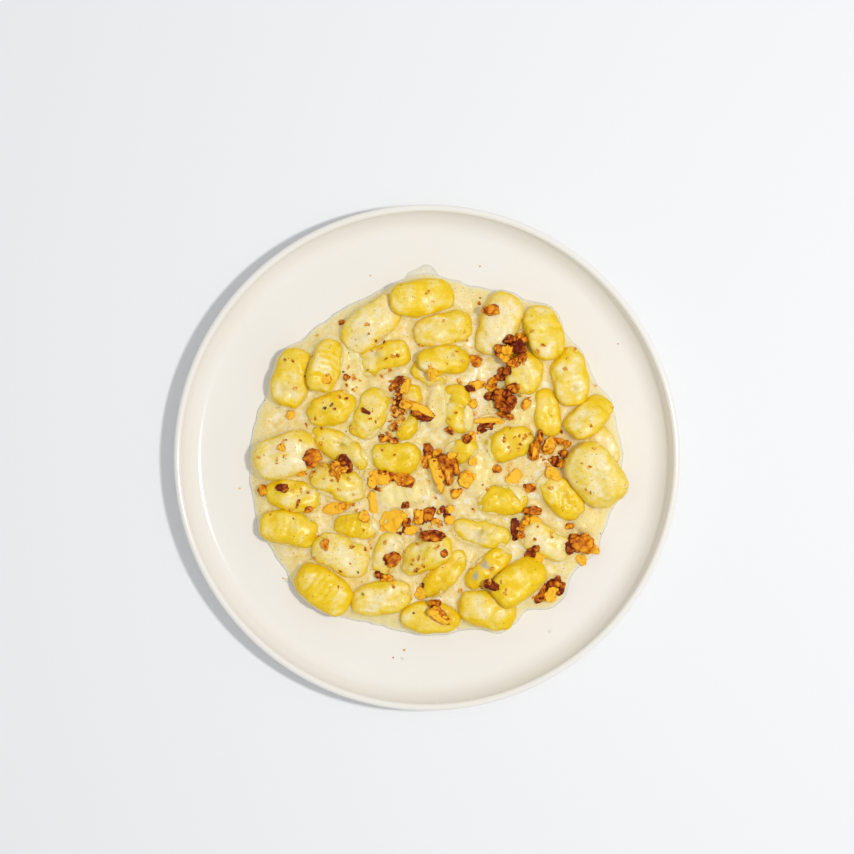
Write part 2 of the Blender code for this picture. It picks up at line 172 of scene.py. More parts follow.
# Smaller pieces of walnut: x, y, bearing in degrees, length and width in mm, and how golden, as above
CHIPS = (
    (33.5, 77, 10, 8.5, 5, 0.45), (26.5, 38, 15, 8, 5, 0.7), (22, 36, -10, 6, 3, 0.0),
    (25, 51, -5, 6.5, 5.5, 0.5), (3, 44, 80, 7.5, 4.5, 0.85), (40, 44, 70, 6, 5, 0.2),
    (42.5, 45, 40, 4, 4, 0.25), (37.5, 42.5, 20, 4, 3.5, 0.3), (39.5, 46.5, 10, 3, 2, 0.6),
    (21, 9.5, 60, 5, 4, 0.3), (23, 11, 60, 5, 4.5, 0.7), (66.5, -9, -35, 8, 6, 0.85),
    (0.5, 4, 95, 7, 4.5, 0.3), (0, -2.5, 95, 7, 5, 0.55), (-60, 0, 40, 8.5, 8, 0.45),
    (-60, -3.5, 20, 5, 2.5, 0.1), (-12, -12, -20, 10, 6.5, 0.5), (-28.5, -23, 95, 13, 4, 0.95),
    (-33, -31, 80, 6, 5, 0.75), (-4.5, -31, 75, 8, 5, 0.65), (1, -30, 65, 9, 5.5, 0.42),
    (-1, -31.5, 65, 7, 2.5, 0.1), (4, -33.5, 20, 4, 3, 0.6), (8, -27.5, 30, 3.5, 3, 0.2),
    (10.5, -30.5, 0, 3.5, 3.5, 0.1), (12, -27, 40, 4, 4, 0.75), (12, -32.5, 10, 4.5, 4, 0.75),
    (6.5, -28.5, 80, 3, 2, 0.6), (3.5, -41, -5, 12, 5.5, 0.28), (-18, -53, 45, 8, 6.5, 0.4),
    (-76, -16, -10, 6, 4, 0.15), (-53, -45.5, 90, 5.5, 3.5, 0.5), (-3, -71, 60, 6, 5, 0.8),
    (-2, -67, 90, 2.5, 1.2, 0.0), (34, -67, -15, 8, 4.5, 0.15), (46.5, -38, 90, 11, 4, 0.1),
    (49, -37, 0, 4, 4, 0.55), (49.5, -41, 30, 4, 3, 0.5), (55, -49.5, 60, 7, 5, 0.15),
    (59, -52, -20, 5, 5, 0.8), (57, -47.5, 0, 4, 3, 0.3), (54, -16, 0, 6, 4, 0.4),
    (36.5, -6, 0, 4.5, 4, 0.35), (46, -10, 50, 8, 6, 0.95), (-25, -61.5, 0, 4, 4, 0.2),
    (-21, -64, 10, 6, 4, 0.55), (75, -36, 0, 4, 3.5, 0.5), (-86, -17.5, 90, 6, 5, 0.55),
    (-49, -27, 8, 10, 5.5, 0.8), (-43.5, -25.5, 20, 6, 4, 0.55), (-45, 71, 20, 3, 2.4, 0.4),
    (12, 14, -40, 4.5, 3, 0.4), (24, 28, 30, 5, 4, 0.7), (-72, 22.5, 0, 4, 3.5, 0.7),
    (-76, 5.5, 0, 4, 3.5, 0.75), (-52, 41, 60, 5, 4, 0.7), (52, 28, 60, 6, 4, 0.6),
    (9, -50, 60, 4, 3, 0.3), (-11.5, -25, 0, 4, 3, 0.2), (24, -2, 20, 4, 4, 0.9),
    (-62, -27, 0, 4, 3, 0.4), (-66, -8, 20, 4, 3, 0.6), (-32, 24, -30, 5, 2, 0.1),
    (-42, 42, 0, 3, 3, 0.3), (-67.5, -24, 70, 5, 1.2, 0.35), (-13.5, 40.5, 20, 6, 3.5, 0.15),
    (-17, 37.5, 50, 7, 3.5, 0.35), (-11, 37.5, 60, 8, 4, 0.8), (-15, 34, 80, 4, 3, 0.3),
    (-14.5, 31.5, 90, 4, 3, 0.15), (-16.5, 29, 30, 4, 3, 0.3), (-13.5, 28, 0, 4, 3, 0.3),
    (-17.5, 26, 60, 4, 3, 0.35), (-13.5, 24.5, 20, 5, 3, 0.3), (-16.5, 22.5, 70, 4, 2.5, 0.3),
    (-10.5, 27.5, -10, 6, 4, 0.7), (-17.5, 15.5, 50, 4.5, 3.5, 0.35), (-17.5, 9, -10, 5, 3, 0.3),
    (-22, 9.5, 20, 5, 3, 0.5), (-24, 11, 0, 3, 2, 0.1),
)
# Bits of black pepper: x, y and length in mm
PEPPER = (
    (-53.5, 26, 2.2), (-50, 27.5, 2.4), (-42.5, 13.5, 1.4), (-44, 45, 1.5), (-64, 42.5, 1.2),
    (-36, -60, 1.6), (-33.5, -71.5, 1.8), (-7, -81.5, 1.4), (-31, 46, 1.4), (-60, 53, 1.0),
    (-70, -32, 1.2), (28, 84, 1.2),
)

# Where crumbs lie thickest: x, y, radius in mm, and how thickly, before it is scaled by PATCH_SHARE
CRUMB_PATCHES = (
    (-14, 41, 3.2, 120), (-17, 38, 3.5, 90), (-15.5, 33, 3.5, 130), (-16, 27.5, 4, 130),
    (-14.5, 23, 4, 120), (-17, 19, 3.5, 100), (-18, 13.5, 3.2, 90), (-21, 10, 3.5, 60),
    (-39, 47, 3.5, 45), (-38, 40, 4, 70), (-41, 33, 5, 30), (-29.5, 23, 9, 16), (-1, -51, 11, 24),
    (-20, 4, 8, 14), (15, 26, 9, 16), (-23, 52, 10, 16), (8, 50, 8, 8), (30, 42, 6, 26),
    (42, 18, 6, 20), (-50, -12, 9, 16), (-60, -4, 6, 20), (-37, -33, 8, 14), (-30, -44, 7, 16),
    (5, -36, 9, 14), (4, -6, 9, 20), (60, 0, 9, 16), (-20, 10, 4, 30), (52, 30, 6, 12), (45, 8, 8, 12),
    (-35, -24, 6, 14), (-66, -22, 8, 10), (-18, -64, 6, 20), (0, -74, 6, 16), (60, -40, 8, 6),
    (70, -12, 6, 14), (10, 60, 12, 4), (-78, 4, 8, 8), (28, -62, 8, 8),
)
PATCH_SHARE = 0.2  # crumbs in a square centimetre for each 1 of a patch's thickness
EVERYWHERE_CRUMBS = 0.35  # in a square centimetre
SPECKS = 3.2  # pepper and herb specks in a square centimetre

# Drops and crumbs on the bare plate: x, y, radius in mm, and 1 for a drop or smear of sauce or 0 for a crumb
STAINS = (
    (-64, -103, 1.8, 1), (-12, -102, 0.7, 0), (-18, -106, 0.5, 0), (-13, -106.5, 0.9, 1),
    (-99, -16.5, 0.6, 0), (65, -92, 0.9, 1), (87, -83, 0.8, 1), (-74, -65, 1.4, 1), (-76, -64, 0.5, 0),
    (28, 101, 0.5, 0), (101, 60, 0.4, 0), (-30, 96, 0.5, 0), (-2, 94.5, 8.2, 1),
)


# ---------------------------------------------------------------- settings


def length(name, description, default):
    """A setting in metres."""
    return FloatProperty(name=name, description=description, default=default, unit="LENGTH")


class PlateSettings(bpy.types.PropertyGroup):
    well_radius: length("Well radius", "Radius of the flat floor", 0.1175)
    well_top: length("Well height", "Height of the floor above the table", 0.0065)
    well_underside: length("Underside", "Height of the hollow inside the foot", 0.002)
    lip: length("Lip", "Thickness of the rim at its lip", 0.0036)
    foot_radius: length("Foot radius", "Outer radius of the foot ring", 0.104)
    foot_width: length("Foot width", "Width of the foot ring", 0.0065)
    outer_curve: length("Outer curve", "Radius where the underside turns up", 0.116)
    glaze: FloatVectorProperty(
        name="Glaze", description="Colour of the glaze", default=(0.965, 0.955, 0.93), subtype="COLOR_GAMMA"
    )


class GnocchiSettings(bpy.types.PropertyGroup):
    detail: IntProperty(name="Detail", description="Squares along each side of a gnocco", default=27)
    swell: FloatProperty(name="Swell", description="Growth that closes the solids' gap", default=1.06)
    ridge_pitch: length("Ridge pitch", "Distance between the fork's ridges", 0.0033)
    unevenness: length("Unevenness", "Height of the dough's lumps", 0.00045)


class SauceSettings(bpy.types.PropertyGroup):
    detail: IntProperty(name="Detail", description="Points along each side of the surface", default=276)
    edge_depth: length("Edge depth", "Depth near the edge", 0.0028)
    edge_width: length("Edge width", "How far the edge takes to round down", 0.008)
    climb: length("Climb", "How far the sauce climbs what stands in it", 0.0012)
    cling: FloatProperty(
        name="Cling", description="Share of each gnocco's height that the sauce rises to", default=0.82
    )
    spread: length("Spread", "How far from a gnocco the risen sauce reaches", 0.0032)


class WalnutSettings(bpy.types.PropertyGroup):
    detail: IntProperty(name="Detail", description="Squares along each side of a lobe", default=16)
    chip_detail: IntProperty(name="Chip detail", description="Squares along each side of a chip", default=12)
    fold: length("Folds", "Distance between the kernel's folds", 0.0034)
    depth: length("Fold depth", "Depth of the folds", 0.0006)


class CrumbSettings(bpy.types.PropertyGroup):
    crumb_size: length("Crumb size", "Length of a middling crumb", 0.0022)
    speck_size: length("Speck size", "Length of a middling speck", 0.0005)
    seed: IntProperty(name="Seed", description="Which scatter of crumbs and specks", default=5)


class StageSettings(bpy.types.PropertyGroup):
    field: length("Field", "Width of the view at the height of the rim", 0.4464)
    camera_height: length("Camera height", "Height of the camera above the rim", 1.2)
    camera_north: length("Camera offset", "How far the camera stands towards +Y", 0.016)
    key_lean: FloatProperty(
        name="Key light lean",
        description="Lean of the key light from the vertical",
        default=0.375,
        subtype="ANGLE",
    )
    key_distance: length("Key light distance", "From the middle of the plate", 1.5)
    key_size: length("Key light size", "Width of the round lamp", 0.123)
    key_power: FloatProperty(name="Key light power", description="In watts", default=10.4, unit="POWER")
    fill_power: FloatProperty(
        name="Fill light", description="Strength of the light from all round", default=0.57
    )


# ---------------------------------------------------------------- materials


def linear(code):
    """An sRGB hex colour such as "#f2d995" as linear red, green, blue and alpha."""
    shares = [int(code[place : place + 2], 16) / 255 for place in (1, 3, 5)]
    return tuple(s / 12.92 if s <= 0.04045 else ((s + 0.055) / 1.055) ** 2.4 for s in shares) + (1.0,)


def add_node(tree, kind, inputs=None, **settings):
    """A node with its settings, and its inputs each set to a value or linked from a socket."""
    node = tree.nodes.new(kind)
    for name, value in settings.items():
        setattr(node, name, value)
    for name, value in (inputs or {}).items():
        if isinstance(value, bpy.types.NodeSocket):
            tree.links.new(value, node.inputs[name])
        else:
            node.inputs[name].default_value = value
    return node


def colour_ramp(tree, factor, stops):
    """A ramp through hex colours at their places from 0 to 1."""
    ramp = add_node(tree, "ShaderNodeValToRGB", {"Fac": factor})
    points = ramp.color_ramp.elements
    while len(points) < len(stops):
        points.new(0.5)
    for point, (place, code) in zip(points, stops):
        point.position = place
        point.color = linear(code)
    return ramp.outputs["Color"]


def new_material(name, **values):
    """A material with only a Principled shader and an output, the shader's own values set."""
    material = bpy.data.materials.new(name)
    material.use_nodes = True
    tree = material.node_tree
    tree.nodes.clear()
    shader = add_node(tree, "ShaderNodeBsdfPrincipled", {k.replace("_", " "): v for k, v in values.items()})
    add_node(tree, "ShaderNodeOutputMaterial", {"Surface": shader.outputs["BSDF"]})
    return material, tree, shader


def noise_at(tree, size_mm, detail=2.0, roughness=0.5):
    """Noise whose lumps are about this many mm across, in object space."""
    place = add_node(tree, "ShaderNodeTexCoord").outputs["Object"]
    settings = {"Vector": place, "Scale": 1 / (size_mm * MM), "Detail": detail, "Roughness": roughness}
    return add_node(tree, "ShaderNodeTexNoise", settings).outputs["Fac"]


def ranged(tree, value, low=0.0, high=1.0, to_low=0.0, to_high=1.0):
    """The value carried from the range low to high onto the range to_low to to_high, and kept in it."""
    inputs = {"Value": value, "From Min": low, "From Max": high, "To Min": to_low, "To Max": to_high}
    return add_node(tree, "ShaderNodeMapRange", inputs).outputs["Result"]


def attribute(tree, name):
    return add_node(tree, "ShaderNodeAttribute", attribute_name=name).outputs["Fac"]


def sum_of(tree, first, second, weight):
    """first + second * weight, kept between 0 and 1."""
    inputs = {0: second, 1: weight, 2: first}
    return add_node(tree, "ShaderNodeMath", inputs, operation="MULTIPLY_ADD", use_clamp=True).outputs[0]


def mixed(tree, factor, first, second):
    """A mix of two colours, given as hex or as sockets."""
    first, second = (linear(c) if isinstance(c, str) else c for c in (first, second))
    inputs = {"Factor": factor, 6: first, 7: second}
    return add_node(tree, "ShaderNodeMix", inputs, data_type="RGBA").outputs[2]


def bump(tree, shader, height, distance_mm, strength=1.0):
    inputs = {"Height": height, "Distance": distance_mm * MM, "Strength": strength}
    tree.links.new(add_node(tree, "ShaderNodeBump", inputs).outputs["Normal"], shader.inputs["Normal"])


def speckled(tree, colour):
    """The colour with the fine grey-brown specks of pepper and cheese that are ground into the cream."""
    place = add_node(tree, "ShaderNodeTexCoord").outputs["Object"]
    cells = add_node(tree, "ShaderNodeTexVoronoi", {"Vector": place, "Scale": 1 / (2.4 * MM)})
    dot = ranged(tree, cells.outputs["Distance"], 0.16, 0.08, to_high=0.55)
    some = ranged(tree, noise_at(tree, 4), 0.5, 0.6)
    chosen = add_node(tree, "ShaderNodeMath", {0: dot, 1: some}, operation="MULTIPLY").outputs[0]
    grain = colour_ramp(tree, noise_at(tree, 1.2, detail=3), ((0.34, "#e2c477"), (0.46, "#ffffff")))
    grained = add_node(
        tree, "ShaderNodeMix", {"Factor": 0.22, 6: colour, 7: grain}, data_type="RGBA", blend_type="MULTIPLY"
    ).outputs[2]
    return mixed(tree, chosen, grained, "#8a6a30")


def glazed_stoneware():
    """Fired stoneware under a clear, slightly warm white glaze: an even gloss with the faintest orange
    peel. The foot ring is wiped bare before firing, so it is matt and biscuit-coloured."""
    material, tree, shader = new_material("glazed_stoneware", IOR=1.5, Specular_IOR_Level=0.4)
    place = add_node(tree, "ShaderNodeTexCoord").outputs["Object"]
    height = add_node(tree, "ShaderNodeSeparateXYZ", {"Vector": place}).outputs["Z"]
    bare = ranged(tree, height, 0.6 * MM, 0.3 * MM)
    glaze = mixed(tree, noise_at(tree, 45), "#f5f2ec", "#f2ede4")
    fired = mixed(tree, noise_at(tree, 1.5), "#cdbd9f", "#b9a788")
    tree.links.new(mixed(tree, bare, glaze, fired), shader.inputs["Base Color"])
    tree.links.new(ranged(tree, bare, to_low=0.13, to_high=0.85), shader.inputs["Roughness"])
    bump(tree, shader, noise_at(tree, 9), 0.05)
    return material


def potato_dough():
    """Boiled potato dough under a skin of cream: soft, wet and satiny, mottled by two noises. Where the
    cream has run off it is a strong lemon yellow, deepened on the flanks and in the fork's grooves by painted
    shade; where it clings it is pale, paler on the crown by a painted highlight, with the cream's fine
    grain; where it dips into the sauce a thin line of painted contact shade turns it brownish."""
    material, tree, shader = new_material(
        "potato_dough",
        Roughness=0.4,
        IOR=1.42,
        Specular_IOR_Level=0.3,
        Subsurface_Weight=0.3,
        Subsurface_Radius=(1.0, 0.85, 0.3),
        Subsurface_Scale=2.0 * MM,
        Coat_Weight=0.2,
        Coat_Roughness=0.23,
    )
    mottle = sum_of(tree, noise_at(tree, 5, detail=3), noise_at(tree, 1.8, detail=4), 0.8)
    bare = sum_of(tree, attribute(tree, "bare"), ranged(tree, mottle, 0.55, 1.25, -0.3, 0.3), 1.0)
    yellow = colour_ramp(
        tree,
        bare,
        ((0.0, "#fbe9b8"), (0.22, "#fae18a"), (0.46, "#f8d84e"), (0.72, "#f5cf18"), (1.0, "#f0c600")),
    )
    # Painted contact shade: the dough turns brownish where it dips into the sauce
    shaded = mixed(tree, attribute(tree, "rim"), yellow, "#9c7c22")
    specked = speckled(tree, shaded)
    mouldy = mixed(tree, attribute(tree, "mould"), specked, "#8f9fb4")
    tree.links.new(mouldy, shader.inputs["Base Color"])
    bump(tree, shader, noise_at(tree, 1.6, detail=3), 0.12, 0.5)
    return material


def cream_sauce():
    """Cream cooked down with cheese: thick, satiny and a warm pale yellow, with paler curds. It is
    yellower where dough lies under it and towards its edge, and nearly white at the very edge."""
    material, tree, shader = new_material(
        "cream_sauce",
        Roughness=0.38,
        IOR=1.4,
        Specular_IOR_Level=0.35,
        Subsurface_Weight=0.4,
        Subsurface_Radius=(1.0, 0.85, 0.5),
        Subsurface_Scale=3.0 * MM,
        Coat_Weight=0.18,
        Coat_Roughness=0.2,
    )
    mottle = colour_ramp(
        tree, noise_at(tree, 12, detail=4), ((0.34, "#f3d780"), (0.5, "#f8e29c"), (0.66, "#fbecc0"))
    )
    curds = colour_ramp(
        tree,
        noise_at(tree, 3.2, detail=4),
        ((0.36, "#e6cb60"), (0.47, "#f5de98"), (0.56, "#f8e4ac"), (0.64, "#fffdf6")),
    )
    mottle = mixed(tree, 0.5, mottle, curds)
    over_dough = mixed(tree, attribute(tree, "dough"), mottle, "#f6e08a")
    edge = attribute(tree, "thin")
    thinner = mixed(tree, ranged(tree, edge, high=0.5), over_dough, "#ffe8a6")
    thin = mixed(tree, ranged(tree, edge, low=0.5), thinner, "#fffbea")
    # Painted contact shade: the sauce darkens where it meets the food
    shaded = mixed(tree, attribute(tree, "rim"), thin, "#c79c3c")
    tree.links.new(speckled(tree, shaded), shader.inputs["Base Color"])
    bump(tree, shader, noise_at(tree, 3.4, detail=4), 0.6, 0.6)
    return material


WALNUT_TONES = (
    (0.0, "#681c00"), (0.14, "#953802"), (0.28, "#c06206"), (0.43, "#dd8208"), (0.58, "#f5a614"),
    (0.74, "#ffc22c"), (0.88, "#ffd552"), (1.0, "#ffe27c"),
)


def walnut_kernel():
    """Toasted walnut: brown skin in brain-like folds, darkened to red-brown in the creases and on steep sides
    by painted shade, and golden flesh where it has broken. Low gloss, from its own oil and the cream."""
    material, tree, shader = new_material("walnut_kernel", Roughness=0.5, IOR=1.47, Specular_IOR_Level=0.2)
    tone = sum_of(tree, attribute(tree, "tone"), noise_at(tree, 1.5, detail=3), 0.5)
    shade = colour_ramp(tree, ranged(tree, tone, 0.25, 1.25), WALNUT_TONES)
    tree.links.new(shade, shader.inputs["Base Color"])
    bump(tree, shader, noise_at(tree, 0.9, detail=4), 0.25, 0.7)
    return material


def walnut_crumb():
    """Crushed kernel and skin: dull grains from dark brown to gold, each mostly of one colour."""
    material, tree, shader = new_material("walnut_crumb", Roughness=0.6, IOR=1.47, Specular_IOR_Level=0.2)
    shade = colour_ramp(
        tree,
        noise_at(tree, 2.4, detail=1),
        ((0.3, "#9a4608"), (0.4, "#cc7a14"), (0.5, "#eaa634"), (0.64, "#f8cc60")),
    )
    tree.links.new(shade, shader.inputs["Base Color"])
    return material


def ground_pepper():
    """Ground pepper and dried herb: matt specks, nearly black to olive brown."""
    material, tree, shader = new_material("ground_pepper", Roughness=0.7, IOR=1.45)
    browns = ((0.36, "#2e2210"), (0.5, "#80662c"), (0.62, "#a8893e"))
    shade = colour_ramp(tree, noise_at(tree, 3, detail=1), browns)
    tree.links.new(shade, shader.inputs["Base Color"])
    return material


def pale_backdrop():
    """Matt white board."""
    material, _, _ = new_material("pale_backdrop", Base_Color=linear("#f3f4f6"), Roughness=0.9)
    return material


FINISHES = {
    "glaze": glazed_stoneware,
    "dough": potato_dough,
    "cream": cream_sauce,
    "kernel": walnut_kernel,
    "crumb": walnut_crumb,
    "pepper": ground_pepper,
    "backdrop": pale_backdrop,
}


def finish(name):
    """The material of this finish, made the first time that a piece asks for it."""
    made = bpy.data.materials.get(FINISHES[name].__name__)
    return made or FINISHES[name]()


# ---------------------------------------------------------------- shapes


def add_piece(name, points, faces, material, smooth=True, **values):
    """A mesh object at the origin, with a value at each point for each named attribute."""
    points = np.asarray(points, dtype=float).tolist()
    mesh = bpy.data.meshes.new(name)
    mesh.from_pydata(points, [], faces.tolist() if isinstance(faces, np.ndarray) else faces)
    for attribute_name, numbers in values.items():
        layer = mesh.attributes.new(attribute_name, "FLOAT", "POINT")
        layer.data.foreach_set("value", np.asarray(numbers, dtype=np.float32))
    mesh.materials.append(material)
    if smooth:
        mesh.shade_smooth()
    piece = bpy.data.objects.new(name, mesh)
    bpy.context.scene.collection.objects.link(piece)
    return piece


def ripples(points, size, seed, waves=16):
    """Smooth unevenness from about -1 to 1: the sum of waves about this long that run every way."""
    draw = np.random.default_rng(seed)
    ways = draw.normal(size=(waves, 3))
    ways /= np.linalg.norm(ways, axis=1, keepdims=True) * size * draw.uniform(0.7, 1.6, (waves, 1))
    phases = draw.uniform(0, 2 * math.pi, waves)
    return np.sin(2 * math.pi * points @ ways.T + phases).sum(axis=1) / math.sqrt(waves)


def joined(forms, ball):
    """Forms that were all made from this ball, as one mesh: points and quads."""
    quads = [ball[1] + len(ball[0]) * place for place in range(len(forms))]
    return np.concatenate(forms), np.concatenate(quads)


def beneath(solid, x, y):
    """The highest point of a search tree's skin at this x and y, and its normal, or None and None."""
    return solid.ray_cast(Vector((x, y, OVERHEAD)), DOWN)[:2]


def smooth_step(values, low, high):
    """0 below low, 1 above high, and a smooth rise between."""
    share = np.clip((values - low) / (high - low), 0, 1)
    return share * share * (3 - 2 * share)


def cube_ball(squares):
    """A ball of radius 1 made of evenly spread quads: a cube's faces cut in squares and pushed out.
    Returns points and quads."""
    side = np.tan(np.linspace(-math.pi / 4, math.pi / 4, squares + 1))
    u, v = (grid.ravel() for grid in np.meshgrid(side, side, indexing="ij"))
    row = np.arange(squares)[:, None] * (squares + 1) + np.arange(squares)
    square = np.stack([row, row + squares + 1, row + squares + 2, row + 1], axis=-1).reshape(-1, 4)
    points, quads = [], []
    for axis in range(3):
        for sign in (1, -1):
            face = np.empty((len(u), 3))
            face[:, axis] = sign
            face[:, (axis + 1) % 3] = u
            face[:, (axis + 2) % 3] = v
            quads.append((square if sign > 0 else square[:, ::-1]) + len(u) * len(quads))
            points.append(face)
    points = np.concatenate(points)
    points, place = np.unique(np.round(points, 6), axis=0, return_inverse=True)
    quads = place.ravel()[np.concatenate(quads)]
    points /= np.linalg.norm(points, axis=1, keepdims=True)
    return points, quads


def point_normals(points, quads):
    """Outward unit normals at the points of a mesh of quads."""
    across = points[quads[:, 2]] - points[quads[:, 0]]
    along = points[quads[:, 3]] - points[quads[:, 1]]
    square = np.cross(across, along)
    normals = np.zeros_like(points)
    for corner in range(4):
        np.add.at(normals, quads[:, corner], square)
    return normals / np.maximum(np.linalg.norm(normals, axis=1, keepdims=True), 1e-12)


def node_shape(name):
    """A CAD node's points, faces, middle, axes by length (as rows) and half sizes along them."""
    mesh = frame["nodes"][name].data
    points = np.array([vertex.co for vertex in mesh.vertices])
    faces = [tuple(face.vertices) for face in mesh.polygons]
    corners = np.unique(np.round(points, 6), axis=0)
    middle = (corners.max(axis=0) + corners.min(axis=0)) / 2
    _, _, axes = np.linalg.svd(corners - corners.mean(axis=0), full_matrices=False)
    if np.linalg.det(axes) < 0:
        axes[2] *= -1
    half = np.ptp((corners - middle) @ axes.T, axis=0) / 2
    return points, faces, middle, axes, half


def rounded(share, directions, degree):
    """The values at these directions as a smooth function: facets finer than the degree are left out."""
    powers = [
        (a, b, c)
        for a in range(degree + 1)
        for b in range(degree + 1 - a)
        for c in range(degree + 1 - a - b)
    ]
    terms = np.column_stack([np.prod(directions**power, axis=1) for power in powers])
    return terms @ np.linalg.lstsq(terms, share, rcond=None)[0]


def node_skin(name, ball, degree):
    """The node's skin seen from its middle along each direction of the ball, its facets rounded off."""
    points, faces, middle, axes, half = node_shape(name)
    solid = BVHTree.FromPolygons(points.tolist(), faces)
    ways = (ball[0] * half) @ axes
    lengths = np.linalg.norm(ways, axis=1)
    reach = [solid.ray_cast(middle, Vector(way / length))[3] for way, length in zip(ways, lengths)]
    reach = np.array([r if r is not None else length for r, length in zip(reach, lengths)])
    share = rounded(reach / lengths, ball[0], degree)
    return middle + ways * share[:, None], middle, axes, half


# ---------------------------------------------------------------- plate


def plate_profile(s):
    """(radius, height) round the plate's half section, from the middle below to the middle above."""
    quarter = math.pi / 2
    lip = s.lip / 2
    radius, height = PLATE_HIGH[0], PLATE_HIGH[2]
    foot_side, foot_rise = 1.2 * MM, 2.4 * MM
    line = [
        (0, s.well_underside),
        (s.foot_radius - s.foot_width - 2 * foot_side, s.well_underside),
        (s.foot_radius - s.foot_width - foot_side, 0.8 * s.well_underside),
        (s.foot_radius - s.foot_width - 0.3 * foot_side, 0.15 * s.well_underside),
        (s.foot_radius - s.foot_width, 0),
        (s.foot_radius, 0),
        (s.foot_radius + 0.3 * foot_side, 0.3 * MM),
        (s.foot_radius + foot_side, foot_rise),
    ]
    for angle in np.linspace(0, quarter, 13):
        outer = s.outer_curve + (radius - s.outer_curve) * math.sin(angle)
        line.append((outer, foot_rise + (height - lip - foot_rise) * (1 - math.cos(angle))))
    for angle in np.linspace(0.12, 1.88, 13) * quarter:
        line.append((radius - lip + lip * math.cos(angle), height - lip + lip * math.sin(angle)))
    for angle in np.linspace(quarter, 0, 16):
        inner = s.well_radius + (radius - 2 * lip - s.well_radius) * math.sin(angle)
        line.append((inner, s.well_top + (height - lip - s.well_top) * (1 - math.cos(angle))))
    line += [(share * s.well_radius, s.well_top) for share in (0.97, 0.9, 0.6, 0.3)]
    return line + [(0, s.well_top)]


class GNOCCHI_OT_plate(bpy.types.Operator):
    """Turn the plate: a finer skin on the CAD plate's own profile"""

    bl_idname = "gnocchi.plate"
    bl_label = "Plate"

    def execute(self, context):
        profile = plate_profile(context.scene.gnocchi_plate)
        segments = 256
        bearings = 2 * math.pi * np.arange(segments) / segments
        points = [(0, 0, profile[0][1])]
        for radius, height in profile[1:-1]:
            ring = np.column_stack(
                [radius * np.cos(bearings), radius * np.sin(bearings), np.full(segments, height)]
            )
            points += ring.tolist()
        points.append((0, 0, profile[-1][1]))
        faces = []
        rings = len(profile) - 2
        for side in range(segments):
            beside = (side + 1) % segments
            faces.append((0, 1 + beside, 1 + side))
            for ring in range(rings - 1):
                low = 1 + ring * segments
                high = low + segments
                faces.append((low + side, low + beside, high + beside, high + side))
            last = 1 + (rings - 1) * segments
            faces.append((last + side, last + beside, last + segments))
        plate = add_piece("plate_glazed", points, faces, finish("glaze"))
        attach(plate, "root")
        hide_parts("plate")
        return {"FINISHED"}


# ---------------------------------------------------------------- gnocchi


def gnocco_form(name, ball, s, seed):
    """Points of one gnocco on its CAD node: rounded, uneven, and ridged where it was rolled off a fork.
    Also how deep in a groove each point lies, from 0 to 1, where there are ridges."""
    points, middle, axes, half = node_skin(name, ball, degree=4)
    points = middle + (points - middle) * s.swell
    normals = point_normals(points, ball[1])
    along = (points - middle) @ axes[0]
    across = (points - middle) @ axes[1] / half[1]
    lumps = s.unevenness * (ripples(points, 11 * MM, seed) + 0.35 * ripples(points, 4 * MM, seed + 1))
    arch, wander, full_depth = 1.2 * MM, 0.4 * MM, 0.3 * MM
    curved = along + arch * across**2 + wander * ripples(points, 9 * MM, seed + 5)
    groove = 0.5 + 0.5 * np.cos(2 * math.pi * curved / s.ridge_pitch)
    middle_part = 1 - smooth_step(np.abs(along) / half[0], 0.45, 0.85)
    middle_part *= 1 - smooth_step(np.abs(across), 0.45, 0.9)
    middle_part *= smooth_step(normals[:, 2], 0.0, 0.6)
    depth = RIDGED_MM.get(name, 0) * MM
    lumps -= depth * groove**1.5 * middle_part
    return points + normals * lumps[:, None], depth / full_depth * (groove - 0.35) * middle_part


def gnocco_piece(name, bare, ball, s, level, seed):
    """One finished gnocco, with the cream on it thickest on top and run off its flanks, a painted highlight
    on its crown, and painted shade on its flanks, in its grooves and along the sauce.
    """
    points, ridged = gnocco_form(name, ball, s, seed)
    slope = 1 - point_normals(points, ball[1])[:, 2]
    patch = 0.4 * ripples(points, 12 * MM, seed + 2) + 0.2 * ripples(points, 5 * MM, seed + 3)
    # The dough shows by its own bare share, in patches and on the flanks; cream pools on the crown. The flank
    # term is partly painted shade, and the crown's paleness is partly a painted highlight
    flanks = 0.4 * smooth_step(slope, 0.06, 0.5)
    crown = 1 - smooth_step(slope, 0.0, 0.1)
    bareness_and_shading = 0.14 + 0.65 * bare + 0.5 * patch * (0.3 + bare) + flanks * (0.6 + bare)
    bareness_and_shading -= 0.2 * crown * (1 - 0.4 * bare)
    # Painted shade: the dough is yellower deeper in the fork's grooves
    bareness_and_shading = np.clip(bareness_and_shading + 0.3 * ridged, 0, 1)
    above = (points[:, 2] - level(points[:, 0], points[:, 1])) / MM
    rim = 0.9 * np.exp(-(np.maximum(above, 0) ** 2))  # painted contact shade where the dough meets the sauce: down to a third 1 mm above the sauce, and gone at 2 mm
    mould = np.zeros(len(points))
    if name == SPOTTED:
        for x, y, radius in MOULD_MM:
            away = np.hypot(points[:, 0] / MM - x, points[:, 1] / MM - y) / radius
            fuzz = 0.3 * ripples(points, 2.5 * MM, seed + 4)
            mould = np.maximum(mould, 0.7 * (1 - smooth_step(away + fuzz, 0.1, 1.3)))
    looks = {"bare": bareness_and_shading, "rim": rim, "mould": mould}
    piece = add_piece(f"{name}_dough", points, ball[1], finish("dough"), **looks)
    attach(piece, "root")
    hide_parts(name)
    return piece


